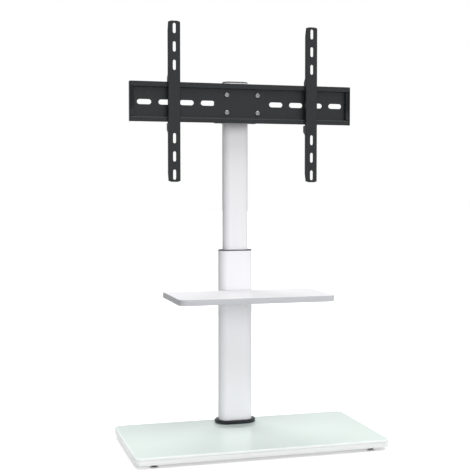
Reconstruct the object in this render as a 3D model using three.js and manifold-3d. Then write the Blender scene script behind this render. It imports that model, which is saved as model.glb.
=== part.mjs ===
// Floor stand for a television: a glass topped base, a flat-oval telescopic column with a small shelf,
// and a swivelling head with two hook-on arms. Millimetres, +Z up, the front faces -Y.
// The origin is on the floor under the middle of the base.

import * as THREE from 'three';
import { mergeVertices } from 'three/addons/utils/BufferGeometryUtils.js';
import Module from 'manifold-3d';

const wasm = await Module();
wasm.setup();

// Fits shared by all pieces
const gap = 0.3; // clearance between pieces that lie inside each other
const overrun = 1; // how far a cutting tool runs past the face it cuts
const weldOverlap = 1; // how far two welded or moulded shapes reach into each other
const weldTolerance = 0.001; // points closer than this are one point

// Facet counts
const cornerSteps = 3;
const ovalSteps = 5;
const screwSides = 8;
const footSides = 12;
const pivotSides = 20;
const nutSides = 6;
const sheetSteps = 2;

// Base: a glass sheet on a board, raised on four levelling feet
const baseWidth = 700;
const baseDepth = 360;
const baseCornerRadius = 18;
const glassThickness = 8;
const glassArris = 1.2;
const boardThickness = 12;
const standoff = 10;

// Levelling feet
const footInsetX = 50;
const footInsetY = 18;
const padRadius = 11;
const padHeight = 5;
const padEdge = 1.2;
const neckRadius = 7;
const stemRadius = 4;
const stemLength = 10.5;

// Bolts and plates that clamp the column to the base
const gasketThickness = 1;
const footPlateReach = 7.5;
const footPlateThickness = 6;
const backingWidth = 130;
const backingDepth = 70;
const backingThickness = 2;
const backingCornerRadius = 6;
const baseBoltRadius = 3;
const baseBoltHeadRadius = 5.5;
const baseBoltHeadHeight = 3.6;
const baseBoltSpacingX = 72;
const baseBoltSpacingY = 30;
const holeClearance = 0.5;
const socketShare = 0.45;
const socketDepthShare = 0.6;

// Collar round the foot of the column
const collarReach = 10.7;
const collarHeight = 13;
const collarEdgeRadius = 8;
const collarLip = 3;
const collarSkirt = 2.5;

// Lower tube of the column
const columnInset = 42;
const lowerTubeWidth = 100;
const lowerTubeDepth = 50;
const lowerTubeLength = 496;
const tubeWall = 2;

// Bushing in the mouth of the lower tube
const bushingFlange = 3.5;
const bushingSleeve = 70;

// Height lock on the back of the lower tube
const lockBlockWidth = 36;
const lockBlockHeight = 60;
const lockBlockThickness = 7;
const lockBlockCornerRadius = 4;
const lockDrop = 34;
const lockSpacing = 30;
const lockScrewRadius = 4;
const lockScrewHeadRadius = 7;
const lockScrewHeadHeight = 4.5;

// Cable ports
const lowPortWidth = 36;
const lowPortHeight = 22;
const lowPortRise = 45;
const highPortWidth = 24;
const highPortHeight = 18;
const highPortDrop = 45;
const grommetWall = 1.7;
const grommetFlange = 3;
const grommetFlangeThickness = 2;
const grommetTail = 1.5;

// Mast: the upper tube that slides in the lower one
const mastWidth = 75;
const mastDepth = 40;
const mastLength = 686;
const mastEngagement = 203; // how far the mast reaches down into the lower tube
const mastCapThickness = 4;
const plugDepth = 15;
const sliderHeight = 30;
const sliderDuctWidth = 40;
const sliderDuctHeight = 20;

// Shelf and the clamp that carries it
const shelfWidth = 440;
const shelfDepth = 220;
const shelfThickness = 16;
const shelfEdge = 0.8;
const shelfDrop = 113; // from the top of the lower tube down to the top of the shelf
const shelfFrontRadius = 24;
const shelfBackRadius = 3;
const shelfBackGap = 1;
const shelfClampWall = 3;
const shelfClampHeight = 19;
const shelfEarReach = 16;
const shelfEarThickness = 4;
const shelfPlateWidth = 170;
const shelfPlateDepth = 165;
const shelfPlateThickness = 3;
const shelfPlateCornerRadius = 8;
const gussetThickness = 3;
const gussetSpacing = 36;
const gussetLength = 90;
const gussetNose = 3;
const shelfScrewRadius = 2;
const shelfScrewHeadRadius = 4;
const shelfScrewHeadHeight = 2.4;
const shelfScrewBite = 11;
const shelfScrewSpacingX = 130;
const shelfScrewInset = 20;
const shelfScrewSpacingY = 110;
const clampSplit = 2;
const shelfClampBoltRadius = 3;
const shelfClampBoltHeadRadius = 5;
const shelfClampBoltHeadHeight = 4;

// Clamp that fixes the head to the mast
const headDrop = 65;
const mastClampWall = 4;
const mastClampHeight = 100;
const mastEarReach = 20;
const mastEarThickness = 5;
const mastClampBoltRadius = 4;
const mastClampBoltHeadRadius = 6.5;
const mastClampBoltHeadHeight = 6;
const mastClampBoltSpacing = 60;

// Swivel joint of the head
const barrelRadius = 14;
const barrelHeight = 60;
const barrelStandoff = 6;
const barrelRibWidth = 20;
const pinRadius = 6;
const pinClearance = 0.2;
const pinHeadRadius = 10;
const pinHeadHeight = 5;
const pinTail = 3;
const washerThickness = 1.2;
const nutRadius = 10.5;
const nutHeight = 9;

// Carrier that turns on the pin
const carrierWidth = 130;
const carrierHeight = 80;
const carrierThickness = 4;
const carrierGap = 10;
const carrierCornerRadius = 8;
const carrierEarRadius = 18;
const carrierEarThickness = 4;
const carrierBoltSpacingX = 90;
const carrierBoltSpacingZ = 50;
const carrierBoltRadius = 4;
const carrierBoltHeadRadius = 7;
const carrierBoltHeadHeight = 4.5;
const carrierBoltTail = 4;

// Cross plate with a hooked rail along its top and bottom edge
const crossWidth = 640;
const crossWebHeight = 86;
const crossThickness = 2.5;
const railReach = 10;
const railLip = 12;
const crossSlotLength = 40;
const crossSlotHeight = 14;
const crossSlotPitch = 60;
const crossSlotCount = 4;
const crossSlotStart = 100;
const endCapThickness = 2.5;
const endCapPlug = 10;

// Arms that hook over the rails and take the television's screws
const armSpacing = 400;
const armHeight = 440;
const armWidth = 34;
const armThickness = 2;
const armDepth = 10.5;
const armCornerRadius = 8;
const armFlangeInset = 10;
const armTaper = 15;
const armTaperDepth = 4.5;
const railClearance = 0.3;
const hookThickness = 6;
const hookHeight = 11;
const hookTail = 8;
const hookSlope = 9;
const footGap = 3;
const footBlockHeight = 18;
const footBlockReach = 14;
const slotWidth = 8.5;
const slotLength = 28;
const slotStart = 100;
const slotPitch = 50;
const slotRows = 3;
const lockTabThickness = 3;
const lockTabDrop = 12;
const armLockRadius = 2.5;
const armLockHeadRadius = 8;
const armLockHeadHeight = 10;
const armLockRise = 9;
const armLockClearance = 1;

// Levels and places that follow from the sizes above
const boardBottom = standoff;
const boardTop = boardBottom + boardThickness;
const glassTop = boardTop + glassThickness;
const gasketTop = glassTop + gasketThickness;
const footPlateTop = gasketTop + footPlateThickness;
const lowerTubeTop = footPlateTop + lowerTubeLength;
const mastBottom = lowerTubeTop - mastEngagement;
const mastTop = mastBottom + mastLength;
const headLevel = mastTop - headDrop;
const lowPortLevel = footPlateTop + lowPortRise;
const highPortLevel = headLevel - mastClampHeight / 2 - highPortDrop;
const columnY = baseDepth / 2 - columnInset;
const shelfTop = lowerTubeTop - shelfDrop;
const shelfBottom = shelfTop - shelfThickness;
const shelfBack = columnY - lowerTubeDepth / 2 - shelfBackGap;
const shelfPlateBottom = shelfBottom - shelfPlateThickness;
const pivotReach = mastDepth / 2 + gap + mastClampWall + barrelStandoff + barrelRadius;
const carrierBack = -barrelRadius - carrierGap;
const carrierFront = carrierBack - carrierThickness;
const webFront = carrierFront - crossThickness;
const lipBack = webFront - railReach;
const lipFront = lipBack - crossThickness;
const railTop = crossWebHeight / 2 + railLip;
const railInner = crossWebHeight / 2 - crossThickness;
const armBack = lipFront - railClearance;
const armFront = armBack - armDepth;
const hookInner = lipBack + railClearance;
const hookBack = hookInner + hookThickness;
const blockBack = armBack + footBlockReach;

const finishes = {
  glass: { color: 0xe2ebe8, roughness: 0.08, metalness: 0 },
  whiteBoard: { color: 0xeef2f1, roughness: 0.3, metalness: 0 },
  whiteSteel: { color: 0xf0f0f2, roughness: 0.35, metalness: 0 },
  whiteShelf: { color: 0xf3f3f5, roughness: 0.3, metalness: 0 },
  blackPlastic: { color: 0x1c2222, roughness: 0.45, metalness: 0 },
  greyPlastic: { color: 0x606468, roughness: 0.5, metalness: 0 },
  palePlastic: { color: 0xd9dadb, roughness: 0.6, metalness: 0 },
  rubber: { color: 0x2a2c2e, roughness: 0.85, metalness: 0 },
  blackSteel: { color: 0x1e2022, roughness: 0.5, metalness: 0.2 },
  zincSteel: { color: 0xb9bdc0, roughness: 0.35, metalness: 0.9 },
  nylon: { color: 0xe6e3da, roughness: 0.55, metalness: 0 },
};

// A named mesh in one of the finishes above
function piece(name, geometry, finish) {
  const mesh = new THREE.Mesh(geometry, new THREE.MeshStandardMaterial(finishes[finish]));
  mesh.name = name;
  return mesh;
}

// Closed geometry to a solid that can be cut and joined
function solid(geometry) {
  const bare = geometry.clone();
  bare.deleteAttribute('normal');
  bare.deleteAttribute('uv');
  const merged = mergeVertices(bare, weldTolerance);
  const kept = [];
  const index = merged.index.array;
  for (let i = 0; i < index.length; i += 3) {
    const [a, b, c] = [index[i], index[i + 1], index[i + 2]];
    if (a !== b && b !== c && c !== a) kept.push(a, b, c);
  }
  const vertProperties = new Float32Array(merged.attributes.position.array);
  const triVerts = new Uint32Array(kept);
  return new wasm.Manifold(new wasm.Mesh({ numProp: 3, vertProperties, triVerts }));
}

function geometryOf(body) {
  const mesh = body.getMesh();
  const geometry = new THREE.BufferGeometry();
  geometry.setAttribute('position', new THREE.BufferAttribute(mesh.vertProperties, 3));
  geometry.setIndex(new THREE.BufferAttribute(mesh.triVerts, 1));
  return geometry;
}

function cut(geometry, tools) {
  let body = solid(geometry);
  for (const tool of tools) body = body.subtract(solid(tool));
  return geometryOf(body);
}

function join(geometries) {
  let body = solid(geometries[0]);
  for (const other of geometries.slice(1)) body = body.add(solid(other));
  return geometryOf(body);
}

// A rectangle with round corners, the front pair (at -y) and the back pair set apart
function roundedRect(width, depth, frontRadius, backRadius = frontRadius) {
  const shape = new THREE.Shape();
  const [x, y] = [width / 2, depth / 2];
  const quarter = Math.PI / 2;
  shape.absarc(x - frontRadius, frontRadius - y, frontRadius, -quarter, 0);
  shape.absarc(x - backRadius, y - backRadius, backRadius, 0, quarter);
  shape.absarc(backRadius - x, y - backRadius, backRadius, quarter, 2 * quarter);
  shape.absarc(frontRadius - x, frontRadius - y, frontRadius, 2 * quarter, 3 * quarter);
  shape.closePath();
  return shape;
}

// A rectangle whose short ends are half circles, lying along x
function flatOval(width, depth) {
  const shape = new THREE.Shape();
  const radius = depth / 2;
  const reach = width / 2 - radius;
  shape.absarc(reach, 0, radius, -Math.PI / 2, Math.PI / 2);
  shape.absarc(-reach, 0, radius, Math.PI / 2, 3 * Math.PI / 2);
  shape.closePath();
  return shape;
}

function polygon(points) {
  return new THREE.Shape(points.map(([x, y]) => new THREE.Vector2(x, y)));
}

// A flat shape raised from one level by a thickness
function raise(shape, thickness, bottom = 0, curveSegments = cornerSteps) {
  const options = { depth: thickness, bevelEnabled: false, curveSegments };
  return new THREE.ExtrudeGeometry(shape, options).translate(0, 0, bottom);
}

// The same with a small bevel along its top and bottom edges
function raiseEased(shape, thickness, edge, bottom) {
  const options = {
    depth: thickness - 2 * edge,
    bevelThickness: edge,
    bevelSize: edge,
    bevelOffset: -edge,
    bevelSegments: 1,
    curveSegments: cornerSteps,
  };
  return new THREE.ExtrudeGeometry(shape, options).translate(0, 0, bottom + edge);
}

function box(width, depth, height, x, y, z) {
  return new THREE.BoxGeometry(width, depth, height).translate(x, y, z);
}

// A round bar that stands on a level
function bar(radius, length, bottom = 0, sides = screwSides) {
  const geometry = new THREE.CylinderGeometry(radius, radius, length, sides);
  return geometry.rotateX(Math.PI / 2).translate(0, 0, bottom + length / 2);
}

// A profile of [radius, level] pairs turned about the z axis, from its lowest point to its highest
function turned(profile, sides) {
  const points = profile.map(([radius, level]) => new THREE.Vector2(radius, level));
  return new THREE.LatheGeometry(points, sides).rotateX(Math.PI / 2);
}

// A shape's own z axis laid along y, so that its top looks backwards
function facingBack(geometry) {
  return geometry.rotateX(-Math.PI / 2);
}

// A shape's own z axis laid along y, so that its top looks forwards
function facingFront(geometry) {
  return geometry.rotateX(Math.PI / 2);
}

// An outline in y and z drawn out along x, centred
function alongX(shape, length) {
  const turn = new THREE.Matrix4().makeBasis(
    new THREE.Vector3(0, 1, 0),
    new THREE.Vector3(0, 0, 1),
    new THREE.Vector3(1, 0, 0),
  );
  return raise(shape, length, -length / 2, sheetSteps).applyMatrix4(turn);
}

// Points of a flat oval, anticlockwise
function ovalPoints(width, depth) {
  return flatOval(width, depth).getPoints(ovalSteps).slice(0, -1);
}

// A closed profile of [offset, level] pairs carried round a flat oval
function ovalRing(width, depth, profile) {
  const positions = [];
  const indices = [];
  for (const [offset, level] of profile) {
    for (const point of ovalPoints(width + 2 * offset, depth + 2 * offset)) {
      positions.push(point.x, point.y, level);
    }
  }
  const around = positions.length / 3 / profile.length;
  for (let j = 0; j < profile.length; j += 1) {
    const next = (j + 1) % profile.length;
    for (let i = 0; i < around; i += 1) {
      const turn = (i + 1) % around;
      const [a, b] = [j * around + i, j * around + turn];
      const [c, d] = [next * around + turn, next * around + i];
      indices.push(a, b, c, a, c, d);
    }
  }
  const geometry = new THREE.BufferGeometry();
  geometry.setAttribute('position', new THREE.Float32BufferAttribute(positions, 3));
  geometry.setIndex(indices);
  return geometry;
}

// A tube of flat-oval section
function ovalTube(width, depth, innerWidth, innerDepth, length, bottom = 0) {
  const shape = flatOval(width, depth);
  shape.holes.push(flatOval(innerWidth, innerDepth));
  return raise(shape, length, bottom, ovalSteps);
}

// A screw with a socket in its head: the head stands on z = 0 and the shank hangs below it
function socketScrew(shankRadius, shankLength, headRadius, headHeight) {
  const socketRadius = headRadius * socketShare;
  const socketFloor = headHeight * (1 - socketDepthShare);
  const shoulder = (headRadius + socketRadius) / 2;
  return turned([
    [0, -shankLength],
    [shankRadius, -shankLength],
    [shankRadius, 0],
    [headRadius, 0],
    [headRadius, headHeight / 2],
    [shoulder, headHeight],
    [socketRadius, headHeight],
    [socketRadius, socketFloor],
    [0, socketFloor],
  ], screwSides);
}

// Four places on a rectangle, in reading order
function fourCorners(spacingX, spacingY) {
  const places = [];
  for (const y of [-spacingY / 2, spacingY / 2]) {
    for (const x of [-spacingX / 2, spacingX / 2]) places.push([x, y]);
  }
  return places;
}

// Base

const baseBoltPlaces = fourCorners(baseBoltSpacingX, baseBoltSpacingY);
const footPlaces = fourCorners(baseWidth - 2 * footInsetX, baseDepth - 2 * footInsetY);

function baseBoltTools(clearance = holeClearance) {
  const height = footPlateTop + 2 * overrun;
  const radius = baseBoltRadius + clearance;
  return baseBoltPlaces.map(([x, y]) => bar(radius, height, -overrun).translate(x, columnY + y, 0));
}

function glassSheet() {
  const outline = roundedRect(baseWidth, baseDepth, baseCornerRadius);
  return cut(raiseEased(outline, glassThickness, glassArris, boardTop), baseBoltTools());
}

function baseBoard() {
  const outline = roundedRect(baseWidth, baseDepth, baseCornerRadius);
  const stemHoles = footPlaces.map(([x, y]) => {
    const depth = stemLength + gap;
    return bar(stemRadius + gap, depth + overrun, boardBottom - overrun).translate(x, y, 0);
  });
  return cut(raise(outline, boardThickness, boardBottom), [...baseBoltTools(), ...stemHoles]);
}

function backingPlate() {
  const outline = roundedRect(backingWidth, backingDepth, backingCornerRadius);
  const bottom = boardBottom - backingThickness;
  const plate = raise(outline, backingThickness, bottom, sheetSteps).translate(0, columnY, 0);
  return cut(plate, baseBoltTools());
}

function columnGasket() {
  const reach = 2 * footPlateReach;
  const outline = flatOval(lowerTubeWidth + reach, lowerTubeDepth + reach);
  const sheet = raise(outline, gasketThickness, glassTop, ovalSteps).translate(0, columnY, 0);
  return cut(sheet, baseBoltTools());
}

function columnFootPlate() {
  const reach = 2 * footPlateReach;
  const outline = flatOval(lowerTubeWidth + reach, lowerTubeDepth + reach);
  const plate = raise(outline, footPlateThickness, gasketTop, ovalSteps).translate(0, columnY, 0);
  return cut(plate, baseBoltTools(gap));
}

function columnCollar() {
  const profile = [[collarReach, 0]];
  for (let step = 0; step <= cornerSteps; step += 1) {
    const angle = (step / cornerSteps) * (Math.PI / 2);
    profile.push([
      collarReach - collarEdgeRadius * (1 - Math.cos(angle)),
      collarHeight - collarEdgeRadius * (1 - Math.sin(angle)),
    ]);
  }
  const inner = collarReach - collarSkirt;
  profile.push([gap, collarHeight], [gap, collarHeight - collarLip]);
  profile.push([inner, collarHeight - collarLip], [inner, 0]);
  return ovalRing(lowerTubeWidth, lowerTubeDepth, profile).translate(0, columnY, glassTop);
}

function baseBolt() {
  const length = footPlateTop - boardBottom + backingThickness;
  return socketScrew(baseBoltRadius, length, baseBoltHeadRadius, baseBoltHeadHeight).rotateX(Math.PI);
}

function footPad() {
  return turned([
    [0, 0],
    [padRadius - padEdge, 0],
    [padRadius, padEdge],
    [padRadius, padHeight - padEdge],
    [padRadius - padEdge, padHeight],
    [0, padHeight],
  ], footSides);
}

function footStem() {
  return turned([
    [0, padHeight],
    [neckRadius, padHeight],
    [neckRadius, boardBottom],
    [stemRadius, boardBottom],
    [stemRadius, boardBottom + stemLength],
    [0, boardBottom + stemLength],
  ], footSides);
}

function makeBase() {
  const group = new THREE.Group();
  group.add(
    piece('glass_top', glassSheet(), 'glass'),
    piece('base_board', baseBoard(), 'whiteBoard'),
    piece('backing_plate', backingPlate(), 'zincSteel'),
    piece('column_gasket', columnGasket(), 'rubber'),
    piece('column_foot_plate', columnFootPlate(), 'whiteSteel'),
    piece('column_collar', columnCollar(), 'blackPlastic'),
  );
  baseBoltPlaces.forEach(([x, y], index) => {
    const bolt = piece(`base_bolt_${index + 1}`, baseBolt(), 'zincSteel');
    bolt.position.set(x, columnY + y, boardBottom - backingThickness);
    group.add(bolt);
  });
  footPlaces.forEach(([x, y], index) => {
    const pad = piece(`foot_pad_${index + 1}`, footPad(), 'palePlastic');
    const stem = piece(`foot_stem_${index + 1}`, footStem(), 'blackPlastic');
    for (const part of [pad, stem]) part.position.set(x, y, 0);
    group.add(pad, stem);
  });
  return group;
}

// Column

const lockLevels = [lowerTubeTop - lockDrop - lockSpacing / 2, lowerTubeTop - lockDrop + lockSpacing / 2];

// Round tools along y through the back wall of the column, at the height lock's screws
function lockTools() {
  const length = lowerTubeDepth / 2 + lockBlockThickness + overrun;
  return lockLevels.map((level) => {
    const tool = facingBack(bar(lockScrewRadius + gap, length));
    return tool.translate(0, 0, level);
  });
}

function portTool(width, height, level, depth, steps = ovalSteps) {
  const tool = facingBack(raise(flatOval(width, height), depth + overrun, 0, steps));
  return tool.translate(0, 0, level);
}

function lowerTube() {
  const inner = 2 * tubeWall;
  const tube = ovalTube(
    lowerTubeWidth,
    lowerTubeDepth,
    lowerTubeWidth - inner,
    lowerTubeDepth - inner,
    lowerTubeLength,
    footPlateTop,
  );
  const port = portTool(lowPortWidth, lowPortHeight, lowPortLevel, lowerTubeDepth / 2);
  return cut(tube, [port, ...lockTools()]);
}

function topBushing() {
  const [boreWidth, boreDepth] = [mastWidth + 2 * gap, mastDepth + 2 * gap];
  const inset = 2 * (tubeWall + gap);
  const [width, depth] = [lowerTubeWidth, lowerTubeDepth];
  const flange = ovalTube(width, depth, boreWidth, boreDepth, bushingFlange, lowerTubeTop);
  const sleeve = ovalTube(
    lowerTubeWidth - inset,
    lowerTubeDepth - inset,
    boreWidth,
    boreDepth,
    bushingSleeve + weldOverlap,
    lowerTubeTop - bushingSleeve,
  );
  return cut(join([flange, sleeve]), lockTools());
}

function lockBlock() {
  const outline = roundedRect(lockBlockWidth, lockBlockHeight, lockBlockCornerRadius);
  const block = facingBack(raise(outline, lockBlockThickness, lowerTubeDepth / 2, sheetSteps));
  return cut(block.translate(0, 0, lowerTubeTop - lockDrop), lockTools());
}

function lockScrew() {
  const length = lowerTubeDepth / 2 + lockBlockThickness - mastDepth / 2 - gap;
  return facingBack(socketScrew(lockScrewRadius, length, lockScrewHeadRadius, lockScrewHeadHeight));
}

// A plastic ring that lines a cable port, with its flange against the outside of the tube
function grommet(width, height) {
  const [outer, bore] = [-gap, -gap - grommetWall];
  const tail = -tubeWall - grommetTail;
  return facingBack(ovalRing(width, height, [
    [outer, tail],
    [outer, 0],
    [grommetFlange, 0],
    [grommetFlange, grommetFlangeThickness / 2],
    [grommetFlange / 2, grommetFlangeThickness],
    [bore, grommetFlangeThickness],
    [bore, tail],
  ]));
}

function makeColumn() {
  const group = new THREE.Group();
  group.position.set(0, columnY, 0);
  const port = piece('low_cable_grommet', grommet(lowPortWidth, lowPortHeight), 'blackPlastic');
  port.position.set(0, lowerTubeDepth / 2, lowPortLevel);
  group.add(
    piece('lower_tube', lowerTube(), 'whiteSteel'),
    piece('top_bushing', topBushing(), 'greyPlastic'),
    piece('lock_block', lockBlock(), 'whiteSteel'),
    port,
  );
  lockLevels.forEach((level, index) => {
    const screw = piece(`height_lock_screw_${index + 1}`, lockScrew(), 'zincSteel');
    screw.position.set(0, lowerTubeDepth / 2 + lockBlockThickness, level);
    group.add(screw);
  });
  return group;
}

// Clamps: two halves that close round a flat oval tube and are drawn together by screws through their ears

function clampHalf(size, front) {
  const [innerWidth, innerDepth] = [size.width + 2 * gap, size.depth + 2 * gap];
  const [outerWidth, outerDepth] = [innerWidth + 2 * size.wall, innerDepth + 2 * size.wall];
  const side = front ? -1 : 1;
  const ring = ovalTube(outerWidth, outerDepth, innerWidth, innerDepth, size.height, -size.height / 2);
  const earWidth = size.earReach + size.wall / 2;
  const earX = outerWidth / 2 - size.wall / 2 + earWidth / 2;
  const earY = side * (clampSplit / 2 + size.earThickness / 2);
  const ears = [-earX, earX].map((x) => box(earWidth, size.earThickness, size.height, x, earY, 0));
  const away = outerDepth + overrun;
  const awayY = side * (clampSplit / 2 - away / 2);
  const other = box(outerWidth + 2 * overrun, away, size.height + 2 * overrun, 0, awayY, 0);
  const drill = clampBoltPlaces(size).map(([x, z]) => {
    const length = size.earThickness + clampSplit + overrun;
    return facingBack(bar(size.boltRadius + gap, 2 * length, -length)).translate(x, 0, z);
  });
  return cut(join([cut(ring, [other]), ...ears]), drill);
}

function clampBoltPlaces(size) {
  const x = size.width / 2 + gap + size.wall + size.earReach / 2;
  return size.boltLevels.flatMap((z) => [[-x, z], [x, z]]);
}

// A screw whose head lies on the back ear and whose tip is flush with the front ear
function clampBolt(size) {
  const length = 2 * size.earThickness + clampSplit;
  return facingBack(socketScrew(size.boltRadius, length, size.boltHeadRadius, size.boltHeadHeight));
}

function addClampBolts(group, size, name, centreZ) {
  clampBoltPlaces(size).forEach(([x, z], index) => {
    const bolt = piece(`${name}_${index + 1}`, clampBolt(size), 'zincSteel');
    bolt.position.set(x, clampSplit / 2 + size.earThickness, centreZ + z);
    group.add(bolt);
  });
}

// Shelf

const shelfClamp = {
  width: lowerTubeWidth,
  depth: lowerTubeDepth,
  wall: shelfClampWall,
  height: shelfClampHeight,
  earReach: shelfEarReach,
  earThickness: shelfEarThickness,
  boltRadius: shelfClampBoltRadius,
  boltHeadRadius: shelfClampBoltHeadRadius,
  boltHeadHeight: shelfClampBoltHeadHeight,
  boltLevels: [0],
};
const shelfPlateBack = shelfBack - columnY;
const shelfScrewY = shelfPlateBack - shelfPlateDepth + shelfScrewInset + shelfScrewSpacingY / 2;
const shelfScrewPlaces = fourCorners(shelfScrewSpacingX, shelfScrewSpacingY).map(
  ([x, y]) => [x, shelfScrewY + y],
);
const shelfClampZ = shelfPlateBottom - shelfClampHeight / 2;

function shelfBoard() {
  const outline = roundedRect(shelfWidth, shelfDepth, shelfFrontRadius, shelfBackRadius);
  const board = raiseEased(outline, shelfThickness, shelfEdge, shelfBottom);
  board.translate(0, shelfPlateBack - shelfDepth / 2, 0);
  const pilots = shelfScrewPlaces.map(([x, y]) => {
    const depth = shelfScrewBite + gap;
    return bar(shelfScrewRadius + gap, depth + overrun, shelfBottom - overrun).translate(x, y, 0);
  });
  return cut(board, pilots);
}

// The front half of the clamp with a plate under the shelf and two gussets
function shelfBracket() {
  const front = -lowerTubeDepth / 2 - gap - shelfClampWall;
  const clamp = clampHalf(shelfClamp, true).translate(0, 0, shelfClampZ);
  const outline = roundedRect(shelfPlateWidth, shelfPlateDepth, shelfPlateCornerRadius);
  const plate = raise(outline, shelfPlateThickness, shelfPlateBottom, sheetSteps);
  plate.translate(0, shelfPlateBack - shelfPlateDepth / 2, 0);
  const weld = front + shelfClampWall / 2;
  const plateMiddle = shelfPlateBottom + shelfPlateThickness / 2;
  const gussetOutline = polygon([
    [weld, shelfPlateBottom - shelfClampHeight],
    [weld, plateMiddle],
    [front - gussetLength, plateMiddle],
    [front - gussetLength, shelfPlateBottom - gussetNose],
  ]);
  const gussets = [-gussetSpacing / 2, gussetSpacing / 2].map((x) => (
    alongX(gussetOutline, gussetThickness).translate(x, 0, 0)
  ));
  const post = box(
    gussetSpacing + gussetThickness,
    shelfClampWall,
    shelfPlateThickness / 2 + weldOverlap,
    0,
    front + shelfClampWall / 2,
    shelfPlateBottom + shelfPlateThickness / 4 - weldOverlap / 2,
  );
  const drill = shelfScrewPlaces.map(([x, y]) => {
    const length = shelfPlateThickness + 2 * overrun;
    return bar(shelfScrewRadius + gap, length, shelfPlateBottom - overrun).translate(x, y, 0);
  });
  return cut(join([clamp, plate, post, ...gussets]), drill);
}

function shelfScrew() {
  const length = shelfPlateThickness + shelfScrewBite;
  return socketScrew(shelfScrewRadius, length, shelfScrewHeadRadius, shelfScrewHeadHeight).rotateX(Math.PI);
}

function makeShelf() {
  const group = new THREE.Group();
  group.position.set(0, columnY, 0);
  const back = piece('shelf_clamp_back', clampHalf(shelfClamp, false), 'whiteSteel');
  back.position.set(0, 0, shelfClampZ);
  group.add(
    piece('shelf_board', shelfBoard(), 'whiteShelf'),
    piece('shelf_bracket', shelfBracket(), 'whiteSteel'),
    back,
  );
  addClampBolts(group, shelfClamp, 'shelf_clamp_screw', shelfClampZ);
  shelfScrewPlaces.forEach(([x, y], index) => {
    const screw = piece(`shelf_screw_${index + 1}`, shelfScrew(), 'zincSteel');
    screw.position.set(x, y, shelfPlateBottom);
    group.add(screw);
  });
  return group;
}

// Mast

const mastClamp = {
  width: mastWidth,
  depth: mastDepth,
  wall: mastClampWall,
  height: mastClampHeight,
  earReach: mastEarReach,
  earThickness: mastEarThickness,
  boltRadius: mastClampBoltRadius,
  boltHeadRadius: mastClampBoltHeadRadius,
  boltHeadHeight: mastClampBoltHeadHeight,
  boltLevels: [-mastClampBoltSpacing / 2, mastClampBoltSpacing / 2],
};
const mastInnerWidth = mastWidth - 2 * tubeWall;
const mastInnerDepth = mastDepth - 2 * tubeWall;

function upperTube() {
  const tube = ovalTube(mastWidth, mastDepth, mastInnerWidth, mastInnerDepth, mastLength, mastBottom);
  return cut(tube, [portTool(highPortWidth, highPortHeight, highPortLevel, mastDepth / 2)]);
}

// Guide at the foot of the mast: a skirt that fills the lower tube and a plug that fits into the mast
function mastSlider() {
  const inset = 2 * (tubeWall + gap);
  const skirt = ovalTube(
    lowerTubeWidth - inset,
    lowerTubeDepth - inset,
    sliderDuctWidth,
    sliderDuctHeight,
    sliderHeight,
    mastBottom - sliderHeight,
  );
  const plug = ovalTube(
    mastInnerWidth - 2 * gap,
    mastInnerDepth - 2 * gap,
    sliderDuctWidth,
    sliderDuctHeight,
    plugDepth + weldOverlap,
    mastBottom - weldOverlap,
  );
  return join([skirt, plug]);
}

function mastCap() {
  const lid = raise(flatOval(mastWidth, mastDepth), mastCapThickness, mastTop, ovalSteps);
  const plug = raise(
    flatOval(mastInnerWidth - 2 * gap, mastInnerDepth - 2 * gap),
    plugDepth + weldOverlap,
    mastTop - plugDepth,
    ovalSteps,
  );
  return join([lid, plug]);
}

// The front half of the head's clamp with the swivel barrel welded to it by a rib
function mastClampFront() {
  const clamp = clampHalf(mastClamp, true);
  const upright = bar(barrelRadius, barrelHeight, -barrelHeight / 2, pivotSides);
  const barrel = upright.translate(0, -pivotReach, 0);
  const ribBack = -mastDepth / 2 - gap - mastClampWall / 2;
  const ribDepth = ribBack + pivotReach;
  const rib = box(barrelRibWidth, ribDepth, barrelHeight, 0, ribBack - ribDepth / 2, 0);
  const boreLength = barrelHeight + 2 * overrun;
  const bore = bar(pinRadius + pinClearance, boreLength, -boreLength / 2, pivotSides);
  return cut(join([clamp, barrel, rib]), [bore.translate(0, -pivotReach, 0)]);
}

function makeMast() {
  const group = new THREE.Group();
  group.position.set(0, columnY, 0);
  const port = piece('high_cable_grommet', grommet(highPortWidth, highPortHeight), 'blackPlastic');
  port.position.set(0, mastDepth / 2, highPortLevel);
  const front = piece('mast_clamp_front', mastClampFront(), 'blackSteel');
  const back = piece('mast_clamp_back', clampHalf(mastClamp, false), 'blackSteel');
  for (const half of [front, back]) half.position.set(0, 0, headLevel);
  group.add(
    piece('upper_tube', upperTube(), 'whiteSteel'),
    piece('mast_slider', mastSlider(), 'nylon'),
    piece('mast_cap', mastCap(), 'greyPlastic'),
    port,
    front,
    back,
  );
  addClampBolts(group, mastClamp, 'mast_clamp_bolt', headLevel);
  const head = makeHead();
  head.position.set(0, -pivotReach, headLevel);
  group.add(head);
  return group;
}

// Head: everything that turns on the pin. Its own origin is the middle of the pin.

const earInner = barrelHeight / 2 + washerThickness;
const earOuter = earInner + carrierEarThickness;
const carrierBoltPlaces = fourCorners(carrierBoltSpacingX, carrierBoltSpacingZ);

function pivotPin() {
  const tip = -earOuter - nutHeight - pinTail;
  return turned([
    [0, tip],
    [pinRadius, tip],
    [pinRadius, earOuter],
    [pinHeadRadius, earOuter],
    [pinHeadRadius, earOuter + pinHeadHeight],
    [0, earOuter + pinHeadHeight],
  ], pivotSides);
}

function pivotNut() {
  const bottom = -earOuter - nutHeight;
  const bore = bar(pinRadius + gap, nutHeight + 2 * overrun, bottom - overrun, pivotSides);
  return cut(bar(nutRadius, nutHeight, bottom, nutSides), [bore]);
}

function pivotWasher() {
  const bore = bar(pinRadius + gap, washerThickness + 2 * overrun, -overrun, pivotSides);
  return cut(bar(barrelRadius, washerThickness, 0, pivotSides), [bore]);
}

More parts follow.
